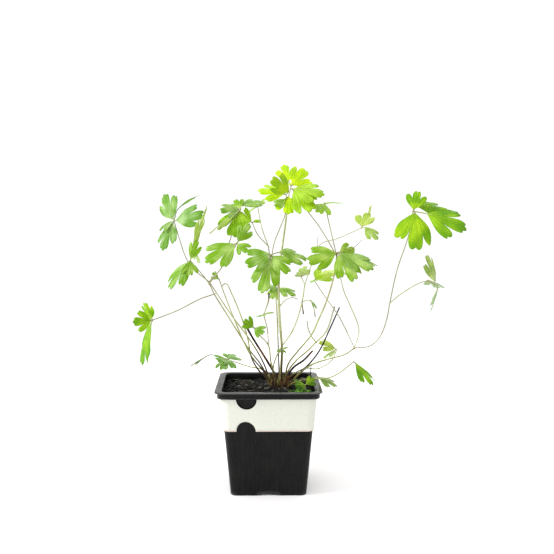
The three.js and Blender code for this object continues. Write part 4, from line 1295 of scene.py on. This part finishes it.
# %% The leaf at the far left
grow_leaf(
    "leaf_far_left", FRESH, (0.75, 0.55),
    [
        (5.5, 3.5, 80), (0, 2.5, 92), (-7, 0, 106), (-15, -4, 117), (-22, -7, 128), (-33, -12, 147),
        (-46, -16, 169),
    ],
    spray(
        [(-58, -18, 165), (-76, -22, 156), (-97, -25, 148)],
        side((-104, -33, 163), (-6, -7, 2), wide=0.85, tone=SUNNY),
        middle((-108, -44, 149), (9, -6, 1), wide=0.9, tone=SUNNY),
        mirrored((-114, -16, 111), (-9, -3, -1), wide=0.7, tone=SHADED),
    ),
    spray(
        [(-50, -18, 178), (-58, -21, 189), (-65, -26, 198)],
        side((-82, -41, 180), (-3, -7, 6), wide=0.65, sag=0.3),
        side((-64, -37, 187), (1, -8, 4), wide=0.9),
        plain((-59, -34, 214), (-2, -9, 1), wide=0.6, tone=FRESH),
    ),
    spray(
        [(-64, -26, 203), (-63, -26, 208)],
        middle((-49, -34, 242), (9, -5, -1), base=(-64, -26, 202), wide=0.25, sag=0.05),
        side((-57, -18, 196), (8, 5, 3), wide=0.8),
        start=(-65, -26, 198), tone=PALE,
    ),
    spray(
        [(-38, -35, 193), (-30, -45, 204), (-25, -50, 213)],
        middle((-49, -64, 202), (0, -7, 7), sag=0.2),
        mirrored((-17, -60, 207), (0, -9, 4), wide=0.9),
        middle((-15, -46, 229), (2, -8, 5), wide=0.8),
        start=(-50, -18, 178),
    ),
)

# %% [markdown]
# ## The leaf behind it
#
# Two small sprays of two leaflets rise behind the others. They fill the head of leaves as it is seen
# from the side and the back.

# %% The leaf behind it
grow_leaf(
    "leaf_back_left", DEEP, (0.7, 0.55),
    [(9.5, 13.5, 80), (9.5, 17, 96), (9, 24, 114), (7, 36, 159), (2, 44, 193), (0, 46, 208)],
    spray(
        [(-6, 49, 225), (-10, 51, 245)],
        plain((-20, 54, 241), (-1, -3, 9)),
        plain((-3, 48, 253), (3, -4, 9)),
        tone=PALE,
    ),
    spray(
        [(-10, 45, 219), (-15, 44, 230)],
        plain((-7, 48, 233), (2, -5, 8), wide=0.6),
        mirrored((-26, 34, 240), (0, -9, 4)),
        tone=LIME,
    ),
)

# %% [markdown]
# ## The leaf at the front
#
# The leaf nearest to us spreads four leaflets like a fan, with their upper sides turned to the front.

# %% The leaf at the front
grow_leaf(
    "leaf_front", FRESH, (0.7, 0.55),
    [(10.5, 0.5, 80), (11.5, -6, 98), (11, -22, 122), (9, -42, 158), (7, -55, 184), (3, -62, 202)],
    spray(
        [(2, -64, 204)],
        mirrored((-18, -74, 200), (-1, -8, 5), base=(1, -65, 205)),
        middle((-5, -82, 177), (-1, -9, 3), wide=0.75),
        side((17, -76, 193), (1, -9, 4), wide=0.75),
        middle((32, -50, 203), (0, -6, 8), base=(8, -61, 206), wide=0.85),
    ),
)

# %% [markdown]
# ## The leaf at the right
#
# This leaf forks three ways at one point. Two thin sprays lean back to the top, and a very short one
# carries six leaflets that spread to all sides.

# %% The leaf at the right
grow_leaf(
    "leaf_right", {**FRESH, "stalk": OLIVE_STALK}, (0.8, 0.6),
    [
        (13, 1.8, 80), (14.5, -1, 92), (17, -3, 106), (25, -7, 118), (37, -14, 134), (42, -18, 146),
        (49, -26, 165), (55, -32, 189), (56, -36, 202),
    ],
    spray(
        [(43, -26, 225), (30, -17, 243), (20, -12, 258)],
        middle((47, -20, 255), (1, -7, 7), base=(21, -13, 258), tone=LIME),
        side((40, -26, 243), (1, -8, 5), tone=LIME),
        tone=LIME,
    ),
    spray(
        [(52, -26, 222), (48, -9, 246)],
        side((61, 6, 249), (0, 1, 9)),
        plain((42, -26, 239), (0, -8, 5), tone=OLIVE),
        tone=LIME,
    ),
    spray(
        [(57, -37, 205)],
        mirrored((31, -43, 202), (0, -7, 7)),
        middle((72, -32, 208), (1, -9, 3)),
        middle((84, -53, 194), (1, -6, 7), wide=0.8),
        mirrored((66, -62, 185), (0, -9, 4), wide=0.65),
        side((42, -26, 194), (0, -2, 9), wide=0.7),
        plain((90, -38, 196), (0, -1, 9), base=(75, -38, 200)),
    ),
)

# %% [markdown]
# ## The leaf at the far right
#
# A long stalk creeps out to the right, then climbs in a slow S to four young leaflets. A thin spray with
# silvery leaflets branches off on the way. Two more sprays go back to the middle, one with pale leaflets
# and one with lime ones.

# %% The leaf at the far right
grow_leaf(
    "leaf_far_right", SUNNY, (0.8, 0.6),
    [(17, 5.5, 80), (22.5, 4.5, 91), (37, -1, 105), (53, -8, 112), (66, -10, 116), (74, -12, 122)],
    spray(
        [
            (87, -14, 124), (95, -16, 132), (100, -20, 147), (102, -24, 162), (105, -40, 191),
            (111, -55, 219), (113, -62, 238),
        ],
        middle((152, -76, 226), (1, -8, 5), base=(123, -66, 236), wide=0.9),
        middle((148, -44, 241), (-1, -8, 5), base=(116, -59, 242), wide=0.45),
        plain((118, -56, 255), (-1, -8, 3), wide=0.9),
        mirrored((109, -80, 210), (0, -9, 4), base=(114, -64, 237), wide=0.9),
    ),
    spray(
        [(111, -22, 169), (127, -18, 178), (136, -15, 180.5)],
        side((133, -27, 202), (6, -8, -1), base=(142, -16, 179), wide=0.45, tone=SILVERY),
        middle((150, 6, 175), (2, 2, 9), wide=0.8),
        side((140, -17, 154), (9, 1, 1), base=(145, -12, 174), wide=0.5, tone=SILVERY),
        start=(102, -24, 162), tone=GREY,
    ),
    spray(
        [(78, -10, 137), (70, -10, 159), (65, -11, 170), (61, -10, 186)],
        side((44, -4, 187), (0, -4, 9)),
        middle((72, 8, 187), (1, -3, 9)),
        tone=PALE,
    ),
    spray(
        [(63, 12, 146), (52, 34, 162), (43, 49, 176)],
        side((58, 60, 186), (0, -7, 7)),
        middle((47, 34, 179), (1, -7, 7)),
        tone=LIME,
    ),
    slot="leaf_young",
)

# %% [markdown]
# ## The leaf at the back
#
# Leaflets at the back are seen against the light, so they look paler. Only two small ones, close to the
# stalk, are deep green.

# %% The leaf at the back
grow_leaf(
    "leaf_back", PALE, (0.7, 0.55),
    [
        (7.8, 9.9, 80), (4.5, 11, 91), (4.5, 13, 102), (10, 19, 115), (22, 29, 131), (31, 40, 155),
        (34, 46, 172),
    ],
    spray(
        [(31, 50, 179)],
        side((27, 56, 183), (0, -7, 7), tone=DEEP),
        middle((33, 35, 188), (1, -6, 8), wide=0.8),
        mirrored((37, 66, 190), (0, -5, 8), wide=0.6),
    ),
    spray(
        [(41, 58, 190), (50, 70, 209), (68, 76, 215), (91, 80, 225)],
        side((97, 90, 242), (-2, -9, 2)),
        plain((105, 96, 247), (7, -4, -5), base=(98, 91, 233), wide=0.7),
        middle((106, 68, 215), (2, -8, 5), base=(94, 78, 226), wide=0.8),
    ),
    spray(
        [(35, 39, 158), (39, 37, 158)],
        plain((45, 30, 153), (1, 0, 9), sag=0.25, wide=0.5, tone=DEEP),
        start=(31, 42, 156),
    ),
)

# %% [markdown]
# ## The low leaf at the right
#
# Low leaves come from the outer rows of the crown and hang over the rim of the pot.

# %% The low leaf at the right
grow_leaf(
    "leaf_low_right", SHADED, (0.7, 0.55),
    [
        (14.5, -0.5, 80), (18.5, -4, 88), (28, -9.5, 93), (37, -14, 95.5), (52, -22, 98.5),
        (60, -28, 104), (70, -32, 113),
    ],
    spray(
        [(71, -33, 114)],
        middle((87, -44, 98), (4, -5, 6), wide=0.6, fold=0.3),
        side((92, -23, 99), (2, -1, 9), wide=0.6),
    ),
    spray(
        [(42, -13, 97.5)],
        middle((59, -21, 92), (0, -2, 9), wide=0.8),
        mirrored((55, -2, 92), (1, 0, 9), wide=0.8),
        start=(37, -14, 95.5), tone=GREY,
    ),
)

# %% [markdown]
# ## The low leaf at the back
#
# A short stalk bows over the back corner of the rim and turns up again, and two small leaflets droop
# from its end.

# %% The low leaf at the back
grow_leaf(
    "leaf_low_back", PALE, (0.7, 0.55),
    [
        (14, 13.5, 80), (18, 17.5, 89), (26, 25, 94), (34, 31, 96), (47, 40, 94), (60, 46, 101),
        (64, 48, 109),
    ],
    spray(
        [(64, 47, 111)],
        side((50, 38, 120), (1, -6, 5), wide=0.7, sag=0.3),
        plain((52, 62, 101), (-2, 3, 9), wide=0.6),
    ),
)

# %% [markdown]
# ## The low leaf at the left
#
# Its counterpart at the left reaches out over the rim. Three broad leaflets sit at its end, and the
# outermost one is narrow and drying up.

# %% The low leaf at the left
grow_leaf(
    "leaf_low_left", DEEP, (0.75, 0.55),
    [(6.5, 12.3, 80), (4, 17, 89), (-6, 26, 96), (-17, 34, 97), (-26, 38, 99), (-36, 40, 102)],
    spray(
        [(-38, 40, 103)],
        mirrored((-31, 56, 106), (0, -6, 8), wide=1.2),
        side((-39, 22, 98), (0, -7, 7), wide=1.1),
        mirrored((-48, 28, 107), (-1, -6, 8), wide=1.2),
        middle((-75, 44, 97), (-1, -1, 9), base=(-55, 42, 107), wide=0.4, tone=DRYING),
    ),
)

# %% [markdown]
# ## The small leaf among the stalks
#
# Between the stalks grows a late leaf with very small leaflets, which take the plain outline.

# %% The small leaf among the stalks
grow_leaf(
    "leaf_small_front", FRESH, (0.75, 0.55),
    [(7.5, 0.8, 80), (5.5, -6.5, 96), (2, -16, 111), (0, -22, 126), (-7, -26, 135), (-11, -28, 140)],
    spray([(-12, -29, 142)], plain((-20, -34, 149), (-2, -9, 3)), middle((-4, -37, 139), (1, -9, 3))),
    spray(
        [(-1, -26, 141), (-4, -28, 153)],
        plain((-8, -36, 153), (-2, -1, 9)),
        plain((3, -20, 155), (-1, 1, 9)),
        start=(0, -22, 126),
    ),
)

# %% [markdown]
# ## The seedling leaf on the soil
#
# Right of the crown a tiny leaf has just come out of the soil. It doesn't grow from the crown, so its
# foot is taken off the list again.

# %% The seedling leaf on the soil
grow_leaf(
    "leaf_soil", SPROUT, (0.7, 0.55),
    [(31.5, -18, 78), (31.5, -18, 85), (31.5, -19.5, 91)],
    spray(
        [(31.5, -20, 91.8)],
        plain((23, -26, 92.5), (0, -7, 6), wide=1.4),
        plain((39.5, -19, 97.5), (0, -7, 6), wide=1.1),
    ),
    slot="leaf_young",
)
feet.pop()

# %% [markdown]
# ## Stalks without leaves
#
# Some stalks have lost their leaf or never had one. Last year's stalks are dead: dark brown and broken
# off with a ragged end, which is the last ring of the tube with some of its points pulled out. A dry
# blade of grass is made the same way. The others are green and end in a hook, a bud or a small fork.

# %% Colours of bare stalks
GREEN_TIP = ((0, (0.36, 0.4, 0.15)), (1, (0.34, 0.32, 0.2)))
BARK = ((0, (0.07, 0.03, 0.015)), (0.3, (0.04, 0.02, 0.012)), (1, (0.016, 0.011, 0.009)))
TORN = (
    (0, (0.08, 0.035, 0.016)), (0.45, (0.06, 0.026, 0.013)), (0.52, (0.14, 0.055, 0.022)),
    (0.56, (0.4, 0.17, 0.06)), (0.61, (0.3, 0.12, 0.045)), (0.66, (0.05, 0.024, 0.013)),
    (0.9, (0.03, 0.017, 0.01)), (1, (0.1, 0.07, 0.02)),
)
REDDISH = (
    (0, (0.07, 0.03, 0.015)), (0.3, (0.02, 0.012, 0.008)), (0.8, (0.03, 0.014, 0.009)),
    (1, (0.13, 0.045, 0.022)),
)
DEAD = (BARK, TORN, REDDISH)
print("colour stops along the torn stalk:", len(TORN))

# %% [markdown]
# Each stalk is given by its radii at the start and the end, its colours and its route. One loop makes
# them all, and adds the bud and the fork.

# %% Bare and dead stalks
DEAD_RAGGED = 1.6
BARE = {
    "dead_stalk_left": ((1.1, 0.9), TORN, [
        (8.3, 4.7, 79), (7, 3.8, 93), (1, 0, 105), (-4, -3.5, 114), (-15, -9.5, 133),
        (-20, -11.5, 143),
    ]),
    "dead_stalk_right": ((0.9, 0.6), BARK, [
        (17, 8.8, 79), (24, 13.5, 91), (38, 21.5, 103), (47, 26, 114), (56, 30, 132), (65, 34, 151),
    ]),
    "dead_stalk_short": ((1.1, 0.9), REDDISH, [
        (15.9, 3.6, 79), (16.5, 4.3, 93), (22, 4, 102), (31, 1.5, 109), (38, -1, 117),
    ]),
    "stalk_hooked_left": ((0.8, 0.5), GREEN_STALK, [
        (3.2, 5.6, 80), (-1, 5.6, 91), (-8, 5.3, 98.5), (-15, 4, 111), (-18, 3, 127), (-23, 2, 145),
        (-32, 0, 168), (-37, 0, 177), (-41, 0, 174),
    ]),
    "stalk_bud_left": ((0.8, 0.5), GREEN_STALK, [
        (3.9, 9.9, 80), (-1, 13.5, 92), (-17, 24, 111), (-30, 28, 139), (-38, 30, 159),
        (-45, 32, 178),
    ]),
    "stalk_forked_right": ((0.8, 0.6), OLIVE_STALK, [
        (14.5, 10.5, 80), (17, 12, 96), (25, 16, 106), (36, 19, 115), (43, 20, 122), (52, 21.5, 131),
        (60, 23, 154),
    ]),
    "grass_blade": ((0.8, 0.35), BARK, [(36.3, 8, 78), (37, 8, 90), (38, 8.5, 103)]),
}
BUD_TIP = (-50, 28, 185)
FORK = [(43, 20, 122), (39, 21, 127), (36, 22, 134), (35, 22, 141)]

for name, ((thick, thin), colours, route) in BARE.items():
    random.seed(name)
    shape = Shape()
    dead = colours in DEAD
    tube(shape, route, taper(thick, thin), colours, ragged=DEAD_RAGGED if dead else 0)
    if name == "stalk_bud_left":
        swelling(shape, route[-1], KNUCKLE, FRESH["stalk_end"])
        leaflet(shape, FRESH, route[-1], **plain(BUD_TIP, (0, -1, 1), fold=0.4))
    if name == "stalk_forked_right":
        tube(shape, FORK, taper(thin, TIP_RADIUS), GREEN_TIP, sides=8, sink=SINK)
    own_finish, own_slot = (dead_stalk, "dead_stalk") if dead else (stalk_green, "stalk_green")
    make_piece(name + "_fine", shape, [own_finish, leaf_blade], own_slot, name)

# %% [markdown]
# ## Withered bits
#
# A plant that stands outdoors is never quite tidy. A few leaf stalks end in a withered tip, and some
# hair-thin twigs stick out of the leaves. They are short tubes that start on a leaf or a stalk, given in
# the same way.

# %% Withered bits
WITHERED = (
    (0, (0.42, 0.46, 0.2)), (0.75, (0.3, 0.24, 0.1)), (0.88, (0.05, 0.03, 0.015)),
    (1, (0.02, 0.012, 0.008)),
)
TWIG = ((0, (0.3, 0.3, 0.14)), (1, (0.1, 0.07, 0.05)))
BIT_RAGGED = 0.8
BITS = [
    (0.35, 0.75, WITHERED, [(-4, -28, 153), (-2, -27, 158), (0, -26, 164), (0.5, -26, 170)]),
    (0.25, 0.45, WITHERED, [(40, 35.5, 157), (42, 34, 151), (43, 33, 144)]),
    (0.5, 0.6, WITHERED, [(31.5, 40, 159), (31, 32, 155), (32, 30, 147)]),
    (0.35, 0.15, TWIG, [(65, -33, 205.4), (71, -34, 209.5), (76.3, -36, 214.8)]),
    (0.35, 0.15, TWIG, [(47.3, 66.5, 203.3), (47, 67, 211), (47.8, 67, 217.4)]),
]
random.seed(31)
withered = Shape()
for thick, thin, colours, route in BITS:
    tube(withered, route, taper(thick, thin), colours, sides=7, step=1.2, ragged=BIT_RAGGED)
make_piece("withered_bits", withered, [dead_stalk], "dead_stalk")

# %% [markdown]
# ## The crown
#
# All stalks start in the crown, a woody knot just above the soil, with a taproot under it. A stack of
# round rings makes both, and noise roughens the part above the soil.

# %% The knot and the taproot
CROWN_RADIUS, TAP_TIP, KNOT_SIDES = 11, 34, 48
KNOT = (
    (0.12, 87), (0.35, 87), (0.55, 86.6), (0.75, 85.8), (0.9, 84.4), (1, 82.5), (0.9, 79), (0.45, 70),
    (0.25, 57), (0.1, TAP_TIP),
)
KNOT_ROUGH, KNOT_SCALE, ROUGH_ABOVE = 1.8, 0.45, 80
KNOT_BROWN = (0.045, 0.024, 0.015)


def outwards(turn):
    return Vector((math.cos(turn), math.sin(turn), 0))


crown = Shape()
crown_rings = []
for share, z in KNOT:
    ring = []
    for i in range(KNOT_SIDES):
        turn = 2 * math.pi * i / KNOT_SIDES
        x = CROWN_X + math.cos(turn) * CROWN_RADIUS * share
        y = CROWN_Y + math.sin(turn) * CROWN_RADIUS * share
        rough = noise.noise(Vector((x, y, z)) * KNOT_SCALE) * KNOT_ROUGH * min(1, share * 2)
        ring.append((x, y, z + (rough if z > ROUGH_ABOVE else 0)))
    crown_rings.append(ring)
skin(crown, crown_rings, [KNOT_BROWN] * (KNOT_SIDES * len(crown_rings)))
print("the knot is", 2 * CROWN_RADIUS, "mm across")

# %% [markdown]
# ### Sheaths
#
# Each stalk is wrapped at its foot in a papery sheath, brown at the bottom and paler at its lip. A
# sheath is a tube with a ragged lip that is a little wider than its stalk.

# %% Sheaths
SHEATH_FROM, SHEATH_HEIGHTS, SHEATH_STEP = 87, (1, 8), 1.2
SHEATH_FOOT, SHEATH_LIP, SHEATH_RAGGED = (0.3, 0.8), 0.12, 2.2
SHEATH_TINTS = (
    ((0, (0.03, 0.014, 0.009)), (0.5, (0.07, 0.035, 0.016)), (1, (0.16, 0.12, 0.05))),
    ((0, (0.03, 0.012, 0.008)), (0.5, (0.09, 0.03, 0.014)), (1, (0.15, 0.06, 0.028))),
    ((0, (0.05, 0.025, 0.013)), (0.5, (0.15, 0.12, 0.035)), (1, (0.32, 0.32, 0.1))),
)

rooted = list(feet)
rooted += [(route, radii[0]) for name, (radii, _, route) in BARE.items() if name != "grass_blade"]
random.seed(5)
for route, radius in rooted:
    height = SHEATH_FROM + random.uniform(*SHEATH_HEIGHTS)
    foot = [point for point in smooth_curve(route, SHEATH_STEP) if point.z < height]
    girth = taper(radius + random.uniform(*SHEATH_FOOT), radius + SHEATH_LIP)
    tint = random.choice(SHEATH_TINTS)
    tube(crown, foot, girth, tint, sides=12, step=SHEATH_STEP, ragged=SHEATH_RAGGED)
print("sheaths:", len(rooted))

# %% [markdown]
# ### Dry ends
#
# Dry ends of old sheaths and stalks stand between the new ones. They are thin crooked spikes that lean
# outwards, and get shorter towards the outside. Some are ochre or straw-coloured, some red-brown and
# some nearly black.

# %% Dry ends
DRY_ENDS, DRY_FOOT, DRY_OUT = 110, 83, (0.15, 0.95)
DRY_LEAN, DRY_TALL, DRY_CROOK = (0, 6), (4, 14), (0.4, 0.7)
DRY_THICK, DRY_TIP = (0.3, 0.8), 0.1
TIP_ASTRAY, ELBOW_ASTRAY, ELBOW_UP = 3, 1, 0.4
DRY_TINTS = (
    ((0, (0.08, 0.035, 0.018)), (1, (0.3, 0.22, 0.09))),
    ((0, (0.06, 0.02, 0.012)), (1, (0.2, 0.065, 0.03))),
    ((0, (0.1, 0.08, 0.02)), (1, (0.4, 0.38, 0.13))),
    ((0, (0.01, 0.007, 0.005)), (1, (0.03, 0.018, 0.01))),
)


def astray(reach, z):
    """A random step sideways of up to `reach` mm each way, and a given step up."""
    return Vector((random.uniform(-reach, reach), random.uniform(-reach, reach), z))


for _ in range(DRY_ENDS):
    turn, out = random.uniform(0, 2 * math.pi), random.uniform(*DRY_OUT)
    lean = outwards(turn) * random.uniform(*DRY_LEAN)
    foot = Vector((CROWN_X, CROWN_Y, DRY_FOOT)) + outwards(turn) * CROWN_RADIUS * out
    tall = random.uniform(*DRY_TALL) * (1.1 - 0.5 * out)
    end = foot + lean + astray(TIP_ASTRAY, tall)
    elbow = foot.lerp(end, random.uniform(*DRY_CROOK)) + astray(ELBOW_ASTRAY, ELBOW_UP)
    girth = taper(random.uniform(*DRY_THICK), DRY_TIP)
    tube(crown, [foot, elbow, end], girth, random.choice(DRY_TINTS), sides=6, step=1.3)
print("dry ends:", DRY_ENDS)

# %% [markdown]
# ### The crown's finish
#
# The crown is matt and fibrous. It uses the tint of every point again, broken up by stretched noise.

# %% Crown fibre
crown_fibre, tree, shader = finish("crown_fibre", Roughness=0.85, Specular_IOR_Level=0.2)
strands = specks(tree, 1100, 4, stretch=(1, 1, 0.18))
streaks = ramp(tree, strands, (0.3, (0.25, 0.2, 0.15)), (0.7, (1.25, 1.2, 1.1)))
painted(tree, shader, mixed(tree, 0.75, carried(tree, "tint"), streaks, "MULTIPLY"))
bumpy(tree, shader, strands, 0.00035)
make_piece("crown_fine", crown, [crown_fibre], "crown_fibre", "crown")

# %% [markdown]
# ## Root fibres on the soil
#
# Pale root fibres and bits of straw lie on the soil. Each is a thin tube whose points follow the
# ground, so that none of them floats.

# %% Fibres
FIBRES, FIBRE_POINTS = 46, (4, 8)
FIBRE_STEP, FIBRE_LIFT, FIBRE_BEND, FIBRE_WANDER = 2.6, 0.25, 0.35, 0.3
LEAST_FIBRE, FIBRE_THICK, FIBRE_TIP = 4, (0.14, 0.3), 0.1
STRAW = ((0, (0.2, 0.17, 0.12)), (1, (0.34, 0.31, 0.25)))


def inside(value):
    return max(-half_soil, min(half_soil, value))


random.seed(23)
straw = Shape()
for _ in range(FIBRES):
    x, y = random.uniform(-half_soil, half_soil), random.uniform(-half_soil, half_soil)
    heading, bend = random.uniform(0, 2 * math.pi), random.uniform(-FIBRE_BEND, FIBRE_BEND)
    route = []
    for _ in range(random.randint(*FIBRE_POINTS)):
        route.append((x, y, ground(x, y) + FIBRE_LIFT))
        x = inside(x + FIBRE_STEP * math.cos(heading))
        y = inside(y + FIBRE_STEP * math.sin(heading))
        heading += bend + random.uniform(-FIBRE_WANDER, FIBRE_WANDER)
    if (Vector(route[-1]) - Vector(route[0])).length > LEAST_FIBRE:
        tube(straw, route, taper(random.uniform(*FIBRE_THICK), FIBRE_TIP), STRAW, sides=5, step=1.6)
dry_straw = stalk_finish("dry_straw", 0.8, 0.00005, (0.5, 0.45, 0.4))
make_piece("soil_fibres", straw, [dry_straw], "potting_soil")

# %% [markdown]
# ## Sizes
#
# The fine pieces must fill the same space as the solids. We take the box round both, and print how far
# their corners differ in millimetres.

# %% Compare and finish
dressed_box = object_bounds()
for name, one, other in zip(("low", "high"), solids_box, dressed_box):
    print(name, "corner differs by", [round((b - a) / MM, 2) for a, b in zip(one, other)], "mm")
